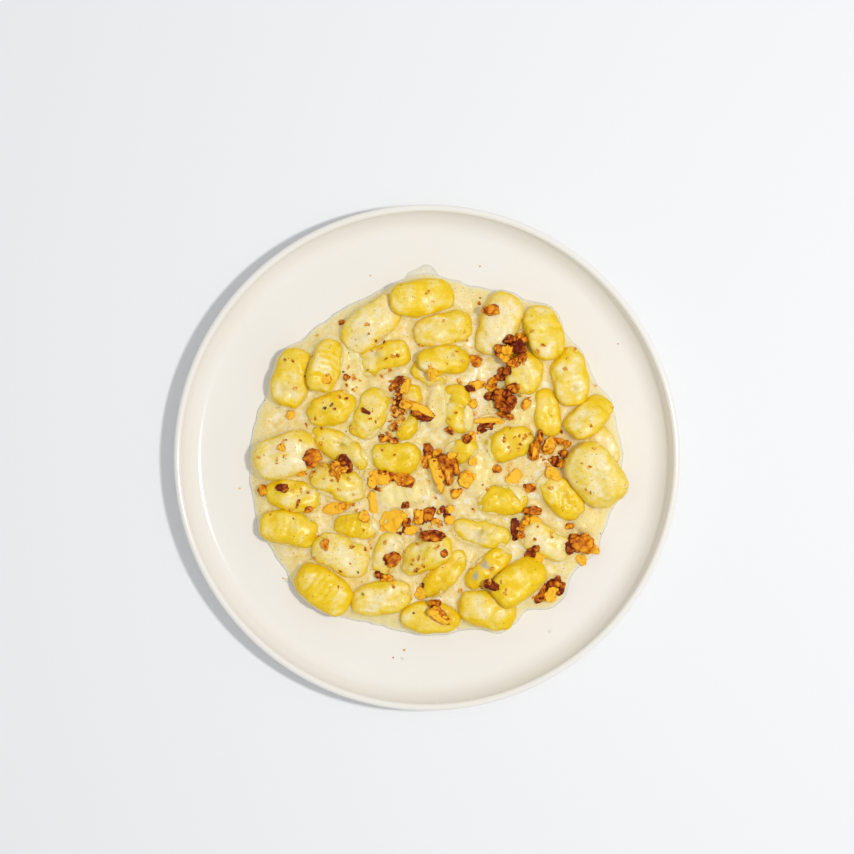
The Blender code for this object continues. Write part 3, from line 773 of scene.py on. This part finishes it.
class GNOCCHI_OT_gnocchi(bpy.types.Operator):
    """Make each gnocco on its CAD node, rounded, ridged and creamed"""

    bl_idname = "gnocchi.gnocchi"
    bl_label = "Gnocchi"

    def execute(self, context):
        settings = context.scene.gnocchi_dough
        ball = cube_ball(settings.detail)
        level = sauce_level(context.scene)
        for number, (name, bare) in enumerate(zip(GNOCCHI, BARE)):
            gnocco_piece(name, bare, ball, settings, level, seed=100 + 10 * number)
        return {"FINISHED"}


# ---------------------------------------------------------------- sauce


def skins(names, detail):
    """Points and faces of these nodes' rounded skins, with few faces."""
    ball = cube_ball(detail)
    swell = 1.03
    forms = []
    for name in names:
        skin, middle, _, _ = node_skin(name, ball, degree=4)
        forms.append(middle + (skin - middle) * swell)
    return joined(forms, ball)


def sauce_reach(food_points):
    """The puddle's radius at each whole degree: the CAD puddle's, and round any gnocco past its edge."""
    mesh = frame["nodes"]["sauce"].data
    corners = np.unique(np.round([vertex.co for vertex in mesh.vertices], 6), axis=0)
    degrees = np.arange(360)
    corners = corners[np.hypot(corners[:, 0], corners[:, 1]) > 0.7 * SAUCE_HIGH[0]]
    bearing = np.degrees(np.arctan2(corners[:, 1], corners[:, 0])) % 360
    radius = np.hypot(corners[:, 0], corners[:, 1])
    count, step = 48, 7.5
    sides = np.round(bearing / step).astype(int) % count
    outline = [radius[sides == side].max() if (sides == side).any() else 0 for side in range(count)]
    reach = np.interp(degrees, step * np.arange(count), np.array(outline), period=360)
    low = food_points[food_points[:, 2] < SAUCE_LOW[2] + 6 * MM]
    food_bearing = np.degrees(np.arctan2(low[:, 1], low[:, 0])) % 360
    fringe = 2.3 * MM
    food_radius = np.hypot(low[:, 0], low[:, 1]) + fringe
    for degree in degrees:
        near = np.abs((food_bearing - degree + 180) % 360 - 180) < 1.8
        if near.any():
            reach[degree] = max(reach[degree], food_radius[near].max())
    weights = np.exp(-(np.arange(-8, 9) ** 2) / 9.0)
    weights /= weights.sum()
    reach = sum(weight * np.roll(reach, shift) for weight, shift in zip(weights, range(-8, 9)))
    turn = np.radians(degrees)
    rim_points = 0.1 * np.column_stack([np.cos(turn), np.sin(turn), 0 * turn])
    return reach + 0.4 * MM * ripples(rim_points, 9 * MM, 7)


def disc_grid(count):
    """Points (x, y) and quads of a disc of radius 1: a square grid pushed round, evenly spaced.
    Also the indices round its edge, counterclockwise."""
    side = np.linspace(-1, 1, count)
    a, b = np.meshgrid(side, side, indexing="ij")
    wide = np.abs(a) > np.abs(b)
    with np.errstate(divide="ignore", invalid="ignore"):
        turn = np.where(wide, math.pi / 4 * b / a, math.pi / 2 - math.pi / 4 * a / b)
    turn = np.nan_to_num(turn)
    radius = np.where(wide, a, b)
    points = np.column_stack([(radius * np.cos(turn)).ravel(), (radius * np.sin(turn)).ravel()])
    index = np.arange(count * count).reshape(count, count)
    corners = [index[:-1, :-1], index[1:, :-1], index[1:, 1:], index[:-1, 1:]]
    quads = np.stack(corners, axis=-1).reshape(-1, 4)
    edge = np.concatenate([index[:-1, 0], index[-1, :-1], index[:0:-1, -1], index[0, :0:-1]])
    return points, quads, edge


def sunk_rise(x, y):
    """How far the sauce humps up over the gnocchi that lie under it, and how near the dough is, 0 to 1."""
    rise = np.zeros_like(x)
    near = np.zeros_like(x)
    for sx, sy, bearing, length, width, height in SUNK_MM:
        turn = math.radians(bearing)
        along = ((x - sx * MM) * math.cos(turn) + (y - sy * MM) * math.sin(turn)) / (length * MM / 2)
        across = ((y - sy * MM) * math.cos(turn) - (x - sx * MM) * math.sin(turn)) / (width * MM / 2)
        inside = smooth_step(1 - (np.abs(along) ** 2.4 + np.abs(across) ** 2.4), -0.35, 0.75)
        rise = np.maximum(rise, height * MM * inside)
        near = np.maximum(near, smooth_step(inside, 0.3, 1))
    return rise, near


def blurred(field, cells):
    """The square field blurred by this many cells."""
    span = np.arange(-int(3 * cells), int(3 * cells) + 1)
    weights = np.exp(-0.5 * (span / cells) ** 2)
    weights /= weights.sum()
    for axis in (0, 1):
        field = np.apply_along_axis(lambda line: np.convolve(line, weights, mode="same"), axis, field)
    return field


LEVELS = {}  # the sauce's level, once worked out, by the name of its scene


def sauce_level(scene):
    """The height of the sauce at any x and y: a shallow dome with slow waves that clings to the flanks
    of the gnocchi and bridges the gaps between them."""
    if scene.name in LEVELS:
        return LEVELS[scene.name]
    s = scene.gnocchi_sauce
    floor = scene.gnocchi_plate.well_top
    points, faces = skins(GNOCCHI, 12)
    gnocchi = BVHTree.FromPolygons(points.tolist(), faces.tolist())
    half, cell, puddle = 108 * MM, 0.5 * MM, 97 * MM
    side = np.arange(-half, half, cell)
    x, y = np.meshgrid(side, side, indexing="ij")
    share = np.clip(np.hypot(x, y) / puddle, 0, 1)
    base = floor + (SAUCE_HIGH[2] - floor - s.edge_depth) * (1 - share**3) + s.edge_depth
    flat = np.column_stack([x.ravel(), y.ravel(), np.zeros(x.size)])
    waves = 0.45 * ripples(flat, 22 * MM, 1) + 0.25 * ripples(flat, 9 * MM, 2)
    waves += 0.14 * ripples(flat, 4.5 * MM, 3)
    base += waves.reshape(x.shape) * MM + sunk_rise(x, y)[0]
    hits = [beneath(gnocchi, px, py)[0] for px, py, _ in flat]
    tops = np.array([0.0 if hit is None else hit[2] for hit in hits]).reshape(x.shape)
    lift = np.clip(tops - base, 0, None)
    near, wide = blurred(lift, 0.45 * s.spread / cell), blurred(lift, s.spread / cell)
    height = base + s.cling * (0.35 * near + 0.65 * wide)
    # The sauce stays this far below the top of a gnocco that rises clear of it
    least, most, clear = 0.3 * MM, 2 * MM, 0.5 * MM
    below_top = np.clip(least + 0.4 * (lift - clear), least, most)
    height = np.where(lift > clear, np.minimum(height, tops - below_top), height)
    height = blurred(height, 0.5 * MM / cell)

    def level(px, py):
        """The height between the four nearest cells."""
        u, v = (np.clip((p + half) / cell, 0, len(side) - 1.001) for p in (px, py))
        i, j = u.astype(int), v.astype(int)
        u, v = u - i, v - j
        low = height[i, j] * (1 - u) + height[i + 1, j] * u
        high = height[i, j + 1] * (1 - u) + height[i + 1, j + 1] * u
        return low * (1 - v) + high * v

    LEVELS[scene.name] = level
    return level


class GNOCCHI_OT_sauce(bpy.types.Operator):
    """Pour the sauce: a closed skin that clings to the food, humps over sunk gnocchi and thins at its edge"""

    bl_idname = "gnocchi.sauce"
    bl_label = "Cream sauce"

    def execute(self, context):
        s = context.scene.gnocchi_sauce
        food_points, food_faces = skins(GNOCCHI + WALNUTS, 10)
        food = BVHTree.FromPolygons(food_points.tolist(), food_faces.tolist())
        reach = sauce_reach(food_points)
        unit, quads, edge = disc_grid(s.detail)
        share = np.hypot(unit[:, 0], unit[:, 1])
        bearing = np.degrees(np.arctan2(unit[:, 1], unit[:, 0])) % 360
        radius = np.interp(bearing, np.arange(360), reach, period=360)
        x, y = unit[:, 0] * radius, unit[:, 1] * radius

        floor = context.scene.gnocchi_plate.well_top
        inward = np.clip((1 - share) * radius / s.edge_width, 0, 1)
        rounding = 1 - (1 - inward) ** 2
        height = floor + (sauce_level(context.scene)(x, y) - floor) * rounding
        distance = np.zeros(len(x))
        for index, place in enumerate(zip(x, y, height)):
            hit, normal, _, away = food.find_nearest(Vector(place))
            distance[index] = away if (Vector(place) - hit).dot(normal) > 0 else -away
        climb = s.climb * np.exp(-np.maximum(distance, 0) / (1.2 * MM))
        height += climb * (distance > -1.5 * MM) * np.minimum(1, 2 * inward)
        height[edge] = floor + 0.02 * MM

        below = floor - 0.1 * MM
        top = np.column_stack([x, y, height])
        skirt = np.column_stack([x[edge], y[edge], np.full(len(edge), below)])
        points = np.concatenate([top, skirt, [(0, 0, below)]])
        first, middle = len(top), len(points) - 1
        after = np.roll(np.arange(len(edge)), -1)
        sides = [(edge[k], first + k, first + after[k], edge[after[k]]) for k in range(len(edge))]
        base = [(first + k, middle, first + after[k]) for k in range(len(edge))]
        pad = np.zeros(len(points) - len(top))
        thin = np.exp(-(1 - share) * radius / (3.5 * MM))
        # Painted contact shade in the sauce, darkest where it meets the food
        rim = 0.6 * np.exp(-((distance / (0.3 * MM)) ** 2)) * inward
        over = 0.5 * np.exp(-np.maximum(distance, 0) / (0.7 * MM))
        dough = np.maximum(0.6 * sunk_rise(x, y)[1], over)
        looks = {"dough": dough, "thin": thin, "rim": rim}
        looks = {name: np.concatenate([values, pad]) for name, values in looks.items()}
        faces = quads.tolist() + sides + base
        piece = add_piece("cream_sauce_pool", points, faces, finish("cream"), **looks)
        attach(piece, "root")
        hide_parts("sauce")
        return {"FINISHED"}


# ---------------------------------------------------------------- walnuts


def chopped(points, middle, way, share, roughness):
    """The points pushed back onto a plane across this way, at this share of their reach along it.
    Also how far each point stood out beyond the plane."""
    along = (points - middle) @ way
    beyond = along - share * along.max() - roughness
    return points - np.clip(beyond, 0, None)[:, None] * way, beyond


def walnut_lobe(ball, length, width, height, tone, s, seed):
    """One broken lobe round the origin, its length along X: points, and the tone of each from 0 to 1.
    A dark lobe is folded skin, its tone darkened in the creases and on steep sides by painted shade; a golden
    one is flesh with flat, torn faces."""
    draw = np.random.default_rng(seed)
    golden = float(smooth_step(np.array(tone), 0.4, 0.7))
    squareness, grown = 2.6, 1.2  # at 2 the form is a ball, above it boxier; the cuts shorten it again
    unit = ball[0] / (np.abs(ball[0]) ** squareness).sum(axis=1, keepdims=True) ** (1 / squareness)
    length, width = grown * length, grown * width
    taper, bend = draw.uniform(-0.35, 0.35), draw.uniform(-0.3, 0.3)
    form = unit.copy()
    form[:, 1] *= 1 + taper * unit[:, 0]
    form[:, 1] += bend * (unit[:, 0] ** 2 - 0.4)
    form[:, 2] *= 1 + 0.2 * draw.normal() * unit[:, 0] + 0.2 * draw.normal() * unit[:, 1]
    points = form * np.array([length, width, height]) / 2
    size = min(width, length)
    torn = 0.05 * size * ripples(points, 0.35 * size, seed + 1)
    rest = np.zeros(3)
    edge = np.zeros(len(points))
    for bearing in draw.uniform(0, 2 * math.pi, 4 + int(2 * golden)):
        way = np.array([math.cos(bearing), math.sin(bearing), draw.uniform(-0.1, 0.5)])
        way /= np.linalg.norm(way)
        points, beyond = chopped(points, rest, way, draw.uniform(0.76, 0.94), torn)
        edge = np.maximum(edge, np.exp(-((beyond / (0.3 * MM)) ** 2)))
    way = np.array([draw.uniform(-0.3, 0.3), draw.uniform(-0.3, 0.3), 1.0])
    way /= np.linalg.norm(way)
    points, beyond = chopped(points, rest, way, 0.9 - 0.35 * golden, torn)
    flat = golden * smooth_step(beyond, 0.0, 0.2 * MM)

    fold = s.fold * min(1.0, 0.45 + size / (14 * MM))
    depth = s.depth * min(1.0, size / (6 * MM))
    warp = np.column_stack([ripples(points, 1.6 * fold, seed + 2 + k) for k in range(3)]) * 0.25 * fold
    crease = 1 - np.minimum(np.abs(ripples(points + warp, 1.7 * fold, seed + 5, waves=9)) * 1.6, 1)
    lumps = ripples(points + warp, 1.3 * fold, seed + 6)
    normals = point_normals(points, ball[1])
    points = points + normals * (depth * (1 - 0.75 * flat) * (0.7 * lumps - 1.3 * crease**2))[:, None]
    slope = 1 - point_normals(points, ball[1])[:, 2]
    # Painted light and shade in the tone: a little lighter on raised folds, darker in the creases and on
    # steep sides
    spread = 0.1 * ripples(points, 0.6 * size, seed + 8) + 0.08 * lumps
    shade = tone + spread * (1 - 0.4 * flat) - (0.3 - 0.2 * flat) * crease**2 + 0.08 * flat
    shade -= 0.26 * smooth_step(slope, 0.4, 1.0) + 0.12 * edge * (1 - flat)
    return points, np.clip(shade, 0, 1)


def laid(points, bearing, up):
    """The points turned so that their X follows the bearing and their Z follows this way up."""
    turn = math.radians(bearing)
    long = Vector((math.cos(turn), math.sin(turn), 0))
    long = (long - up * long.dot(up)).normalized()
    return points @ np.array([long, up.cross(long), up])


class GNOCCHI_OT_walnuts(bpy.types.Operator):
    """Break each large piece of walnut into lobes on its CAD node"""

    bl_idname = "gnocchi.walnuts"
    bl_label = "Large walnut pieces"

    def execute(self, context):
        s = context.scene.gnocchi_walnuts
        ball = cube_ball(s.detail)
        food = top_surface(("gnocco", "cream", "plate"))
        for number, (name, lobes) in enumerate(zip(WALNUTS, LOBES)):
            corners, faces, middle, _, _ = node_shape(name)
            solid = BVHTree.FromPolygons(corners.tolist(), faces)
            tall = np.ptp(corners[:, 2])
            points, tones = [], []
            for place, (x, y, bearing, length, width, rise, tone) in enumerate(lobes):
                top = beneath(solid, x * MM, y * MM)[0]
                ground = beneath(food, x * MM, y * MM)[0]
                if top is None:
                    top = ground + Vector((0, 0, 0.55 * width * MM))
                height = min(0.8 * tall, max(0.75 * width * MM, 3 * MM))
                height = max(height, min(top[2] - ground[2] + 0.8 * MM, 1.1 * width * MM))
                seed = 700 + 50 * number + 3 * place
                form, shade = walnut_lobe(ball, length * MM, width * MM, height, tone, s, seed)
                away = Vector((x * MM - middle[0], y * MM - middle[1], 0)) * 25
                form = laid(form, bearing, (UP + 0.5 * away).normalized())
                form += np.array([x * MM, y * MM, top[2] + rise * MM - form[:, 2].max()])
                points.append(form)
                tones.append(shade)
            tone = np.concatenate(tones)
            piece = add_piece(f"{name}_kernel", *joined(points, ball), finish("kernel"), tone=tone)
            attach(piece, "root")
            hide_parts(name)
        return {"FINISHED"}


def top_surface(kinds):
    """A search tree of the finished pieces whose names start so, for chips and crumbs to land on."""
    points, faces, count = [], [], 0
    for piece in bpy.context.scene.objects:
        if piece.type == "MESH" and piece.name.startswith(kinds) and piece.name not in frame["nodes"]:
            mesh = piece.data
            cloud = np.empty(3 * len(mesh.vertices))
            mesh.vertices.foreach_get("co", cloud)
            points += cloud.reshape(-1, 3).tolist()
            faces += [[corner + count for corner in face.vertices] for face in mesh.polygons]
            count += len(mesh.vertices)
    return BVHTree.FromPolygons(points, faces)


class GNOCCHI_OT_chips(bpy.types.Operator):
    """Lay the smaller pieces of walnut on the food, as one mesh"""

    bl_idname = "gnocchi.chips"
    bl_label = "Small walnut pieces"

    def execute(self, context):
        s = context.scene.gnocchi_walnuts
        ball = cube_ball(s.chip_detail)
        below = top_surface(("gnocco", "walnut", "cream", "plate"))
        points, tones = [], []
        for number, (x, y, bearing, length, width, tone) in enumerate(CHIPS):
            ground, normal = beneath(below, x * MM, y * MM)
            if ground is None:
                raise RuntimeError(f"chip {number} has nothing under it")
            height = (0.35 * width + 1.4) * MM  # wide chips are flatter for their width
            form, shade = walnut_lobe(ball, length * MM, width * MM, height, tone, s, 2000 + 10 * number)
            up = (normal + Vector((0, 0, 1.2))).normalized()
            form = laid(form, bearing, up) + np.array(ground + 0.2 * height * up)
            points.append(form)
            tones.append(shade)
        tone = np.concatenate(tones)
        piece = add_piece("walnut_chips", *joined(points, ball), finish("kernel"), tone=tone)
        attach(piece, "root")
        return {"FINISHED"}


# ---------------------------------------------------------------- crumbs and specks


def vector_math(tree, operation, first, second):
    """The vector that this operation makes of the first value and the second."""
    inputs = {0: first, "Scale" if operation == "SCALE" else 1: second}
    return add_node(tree, "ShaderNodeVectorMath", inputs, operation=operation).outputs[0]


def random_vector(tree, low, high, seed):
    inputs = {"Min": low, "Max": high, "Seed": seed}
    return add_node(tree, "FunctionNodeRandomValue", inputs, data_type="FLOAT_VECTOR").outputs["Value"]


def scatter_tree(name, finish_name):
    """Geometry nodes that strew uneven grains over a surface, thick where its attribute "grains" says."""
    tree = bpy.data.node_groups.new(name, "GeometryNodeTree")
    face = tree.interface
    face.new_socket("Geometry", in_out="INPUT", socket_type="NodeSocketGeometry")
    for socket, kind in (("Size", "Float"), ("Flatness", "Float"), ("Sink", "Float"), ("Seed", "Int")):
        face.new_socket(socket, in_out="INPUT", socket_type=f"NodeSocket{kind}")
    face.new_socket("Geometry", in_out="OUTPUT", socket_type="NodeSocketGeometry")
    given = add_node(tree, "NodeGroupInput").outputs
    thickness = add_node(tree, "GeometryNodeInputNamedAttribute", {"Name": "grains"}, data_type="FLOAT")
    strewn = add_node(
        tree,
        "GeometryNodeDistributePointsOnFaces",
        {"Mesh": given["Geometry"], "Density": thickness.outputs["Attribute"], "Seed": given["Seed"]},
    )
    grain = add_node(tree, "GeometryNodeMeshIcoSphere", {"Radius": 0.5, "Subdivisions": 2})
    spin = random_vector(tree, (-0.5, -0.5, 0), (0.5, 0.5, 2 * math.pi), given["Seed"])
    turned = add_node(
        tree,
        "FunctionNodeRotateRotation",
        {"Rotation": strewn.outputs["Rotation"], "Rotate By": spin},
        rotation_space="LOCAL",
    )
    stretch = random_vector(tree, (0.5, 0.35, 0.4), (1.7, 1.1, 1.0), given["Seed"])
    size = vector_math(tree, "SCALE", stretch, given["Size"])
    flat = add_node(tree, "ShaderNodeCombineXYZ", {"X": 1.0, "Y": 1.0, "Z": given["Flatness"]})
    flattened = vector_math(tree, "MULTIPLY", size, flat.outputs[0])
    placed = add_node(
        tree,
        "GeometryNodeInstanceOnPoints",
        {
            "Points": strewn.outputs["Points"],
            "Instance": grain.outputs["Mesh"],
            "Rotation": turned.outputs["Rotation"],
            "Scale": flattened,
        },
    )
    real = add_node(tree, "GeometryNodeRealizeInstances", {"Geometry": placed.outputs["Instances"]})
    place = add_node(tree, "GeometryNodeInputPosition").outputs["Position"]
    rough = add_node(
        tree, "ShaderNodeTexNoise", {"Vector": place, "Scale": 1400.0, "Detail": 1.0}, noise_dimensions="3D"
    )
    centred = vector_math(tree, "SUBTRACT", rough.outputs["Color"], (0.5, 0.5, 0.5))
    push = vector_math(tree, "SCALE", centred, given["Size"])
    drop = add_node(tree, "ShaderNodeCombineXYZ", {"Z": given["Sink"]})
    offset = vector_math(tree, "ADD", push, drop.outputs[0])
    moved = {"Geometry": real.outputs["Geometry"], "Offset": offset}
    shaken = add_node(tree, "GeometryNodeSetPosition", moved)
    dress = {"Geometry": shaken.outputs["Geometry"], "Material": finish(finish_name)}
    dressed = add_node(tree, "GeometryNodeSetMaterial", dress)
    add_node(tree, "NodeGroupOutput", {"Geometry": dressed.outputs["Geometry"]})
    return tree


def strewn_piece(name, surface, tree, **inputs):
    """The grains that the tree strews over the surface, as a plain mesh."""
    ground = bpy.data.objects.new(f"{name}_ground", surface)
    bpy.context.scene.collection.objects.link(ground)
    strew = ground.modifiers.new("strew", "NODES")
    strew.node_group = tree
    for socket in tree.interface.items_tree:
        if socket.in_out == "INPUT" and socket.name in inputs:
            strew[socket.identifier] = inputs[socket.name]
    bpy.context.view_layer.update()
    evaluated = ground.evaluated_get(bpy.context.evaluated_depsgraph_get())
    mesh = bpy.data.meshes.new_from_object(evaluated)
    bpy.data.objects.remove(ground)
    mesh.name = name
    piece = bpy.data.objects.new(name, mesh)
    bpy.context.scene.collection.objects.link(piece)
    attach(piece, "root")
    return piece


def landing_mesh(name, density):
    """The upward side of the food as one mesh, with density(x, y) in mm as its attribute "grains"."""
    below = top_surface(("gnocco", "walnut", "cream"))
    unit, quads, _ = disc_grid(240)
    radius = 106 * MM
    points = np.column_stack([unit * radius, np.full(len(unit), OVERHEAD)])
    on_food = np.zeros(len(points), dtype=bool)
    for index, point in enumerate(points):
        hit, normal = beneath(below, point[0], point[1])
        if hit is not None:
            points[index, 2] = hit[2]
            on_food[index] = normal[2] > 0.35
    grains = density(points[:, 0] / MM, points[:, 1] / MM) * on_food
    mesh = bpy.data.meshes.new(name)
    whole = quads[on_food[quads].all(axis=1) & (np.ptp(points[quads][:, :, 2], axis=1) < 1.2 * MM)]
    mesh.from_pydata(points.tolist(), [], whole.tolist())
    mesh.attributes.new("grains", "FLOAT", "POINT").data.foreach_set("value", grains.astype(np.float32))
    return mesh


def crumb_density(x, y):
    """Crumbs in a square metre: a few everywhere, and many in the patches."""
    total = np.full_like(x, EVERYWHERE_CRUMBS)
    for px, py, radius, count in CRUMB_PATCHES:
        away = np.hypot(x - px, y - py) / radius
        total += PATCH_SHARE * count * (1 - smooth_step(away, 0.5, 1.25))
    return total * PER_CM2


def speck_density(x, y):
    """Pepper and herb specks in a square metre, in loose clouds."""
    flat = np.column_stack([x, y, 0 * x]) * MM
    return SPECKS * PER_CM2 * np.clip(0.8 + 0.5 * ripples(flat, 30 * MM, 11), 0.2, 2)


class GNOCCHI_OT_crumbs(bpy.types.Operator):
    """Strew walnut crumbs over the food"""

    bl_idname = "gnocchi.crumbs"
    bl_label = "Walnut crumbs"

    def execute(self, context):
        s = context.scene.gnocchi_crumbs
        tree = scatter_tree("strewn_crumbs", "crumb")
        surface = landing_mesh("crumb_ground", crumb_density)
        strewn_piece("walnut_crumbs", surface, tree, Size=s.crumb_size, Flatness=0.7, Sink=0.0, Seed=s.seed)
        return {"FINISHED"}


class GNOCCHI_OT_specks(bpy.types.Operator):
    """Strew ground pepper and herb specks over the food, and lay the larger bits of pepper"""

    bl_idname = "gnocchi.specks"
    bl_label = "Pepper and herb specks"

    def execute(self, context):
        s = context.scene.gnocchi_crumbs
        tree = scatter_tree("strewn_specks", "pepper")
        surface = landing_mesh("speck_ground", speck_density)
        given = {"Size": s.speck_size, "Flatness": 0.6, "Sink": 0.0, "Seed": s.seed + 1}
        strewn_piece("pepper_specks", surface, tree, **given)

        food = top_surface(("gnocco", "cream"))
        ball = cube_ball(6)
        points = []
        for number, (x, y, length) in enumerate(PEPPER):
            ground = beneath(food, x * MM, y * MM)[0]
            form = ball[0] * np.array([0.5, 0.34, 0.22]) * length * MM
            form *= 1 + 0.3 * ripples(form, 0.5 * length * MM, 60 + number)[:, None]
            points.append(laid(form, 50 * number, UP) + np.array(ground))
        bits = add_piece("pepper_bits", *joined(points, ball), finish("pepper"))
        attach(bits, "root")
        return {"FINISHED"}


class GNOCCHI_OT_stains(bpy.types.Operator):
    """Leave a few drops of sauce and crumbs on the bare plate"""

    bl_idname = "gnocchi.stains"
    bl_label = "Stains on the plate"

    def execute(self, context):
        floor = context.scene.gnocchi_plate.well_top
        ball = cube_ball(12)
        # name, what the table calls its kind, share of its radius that it is high, and most height in mm
        sorts = (("plate_crumbs", 0, 0.6, 1.0), ("plate_drops", 1, 0.2, 0.35))
        for name, kind, flatness, thickest in sorts:
            points = []
            for x, y, radius, is_drop in STAINS:
                if is_drop != kind:
                    continue
                form = ball[0] * np.array([1, 0.85, min(flatness, thickest / radius)]) * radius * MM
                form[:, :2] *= 1 + 0.15 * ripples(form + x * MM, radius * MM, int(abs(x)) + 30)[:, None]
                points.append(form + np.array([x * MM, y * MM, floor]))
            zero = np.zeros(sum(len(p) for p in points))
            looks = {"dough": zero, "thin": zero + 0.85, "rim": zero}
            piece = add_piece(name, *joined(points, ball), finish("cream" if kind else "crumb"), **looks)
            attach(piece, "root")
        return {"FINISHED"}


# ---------------------------------------------------------------- stage


class GNOCCHI_OT_stage(bpy.types.Operator):
    """Set out the pale floor, the lights and the camera overhead"""

    bl_idname = "gnocchi.stage"
    bl_label = "Floor, lights and camera"

    def execute(self, context):
        scene = context.scene
        s = scene.gnocchi_stage
        half = 4.0  # of the floor's side, in metres
        corners = [(-half, -half, 0), (half, -half, 0), (half, half, 0), (-half, half, 0)]
        floor = add_piece("floor", corners, [(0, 1, 2, 3)], finish("backdrop"), smooth=False)

        world = bpy.data.worlds.new("soft_room")
        world.use_nodes = True
        background = world.node_tree.nodes["Background"]
        background.inputs["Color"].default_value = (0.96, 0.98, 1.0, 1)
        background.inputs["Strength"].default_value = s.fill_power
        scene.world = world
        scene.view_settings.view_transform = "Standard"

        lamp = bpy.data.lights.new("key", "AREA")
        lamp.shape = "DISK"
        lamp.size = s.key_size
        lamp.energy = s.key_power
        lamp.color = (1.0, 0.985, 0.96)
        key = bpy.data.objects.new("key", lamp)
        bearing = math.radians(5)  # of the key light, from +X towards +Y
        sideways = math.sin(s.key_lean)
        away = Vector((sideways * math.cos(bearing), sideways * math.sin(bearing), math.cos(s.key_lean)))
        key.rotation_euler = away.to_track_quat("Z", "Y").to_euler()
        key.location = away * s.key_distance
        scene.collection.objects.link(key)

        camera_data = bpy.data.cameras.new("overhead")
        camera_data.sensor_width = 36
        camera_data.lens = 36 * s.camera_height / s.field
        camera = bpy.data.objects.new("overhead", camera_data)
        camera.location = (0, s.camera_north, PLATE_HIGH[2] + s.camera_height)
        scene.collection.objects.link(camera)
        scene.camera = camera
        return {"FINISHED"}


# ---------------------------------------------------------------- add-on

GROUPS = {
    "gnocchi_plate": PlateSettings,
    "gnocchi_dough": GnocchiSettings,
    "gnocchi_sauce": SauceSettings,
    "gnocchi_walnuts": WalnutSettings,
    "gnocchi_crumbs": CrumbSettings,
    "gnocchi_stage": StageSettings,
}
STEPS = (
    GNOCCHI_OT_plate,
    GNOCCHI_OT_gnocchi,
    GNOCCHI_OT_sauce,
    GNOCCHI_OT_walnuts,
    GNOCCHI_OT_chips,
    GNOCCHI_OT_crumbs,
    GNOCCHI_OT_specks,
    GNOCCHI_OT_stains,
    GNOCCHI_OT_stage,
)


class GNOCCHI_PT_panel(bpy.types.Panel):
    """The steps in order, each with its settings above it"""

    bl_idname = "GNOCCHI_PT_panel"
    bl_label = "Potato gnocchi"
    bl_space_type = "VIEW_3D"
    bl_region_type = "UI"
    bl_category = "Gnocchi"

    def draw(self, context):
        for group in GROUPS:
            box = self.layout.box()
            for name in getattr(context.scene, group).__annotations__:
                box.prop(getattr(context.scene, group), name)
        for step in STEPS:
            self.layout.operator(step.bl_idname)


def register():
    for made in (*GROUPS.values(), *STEPS, GNOCCHI_PT_panel):
        bpy.utils.register_class(made)
    for name, group in GROUPS.items():
        setattr(bpy.types.Scene, name, PointerProperty(type=group))


def unregister():
    for name in GROUPS:
        delattr(bpy.types.Scene, name)
    for made in (GNOCCHI_PT_panel, *reversed(STEPS), *GROUPS.values()):
        bpy.utils.unregister_class(made)


def main():
    register()
    for step in STEPS:
        group, name = step.bl_idname.split(".")
        getattr(getattr(bpy.ops, group), name)()


if __name__ == "__main__":
    main()
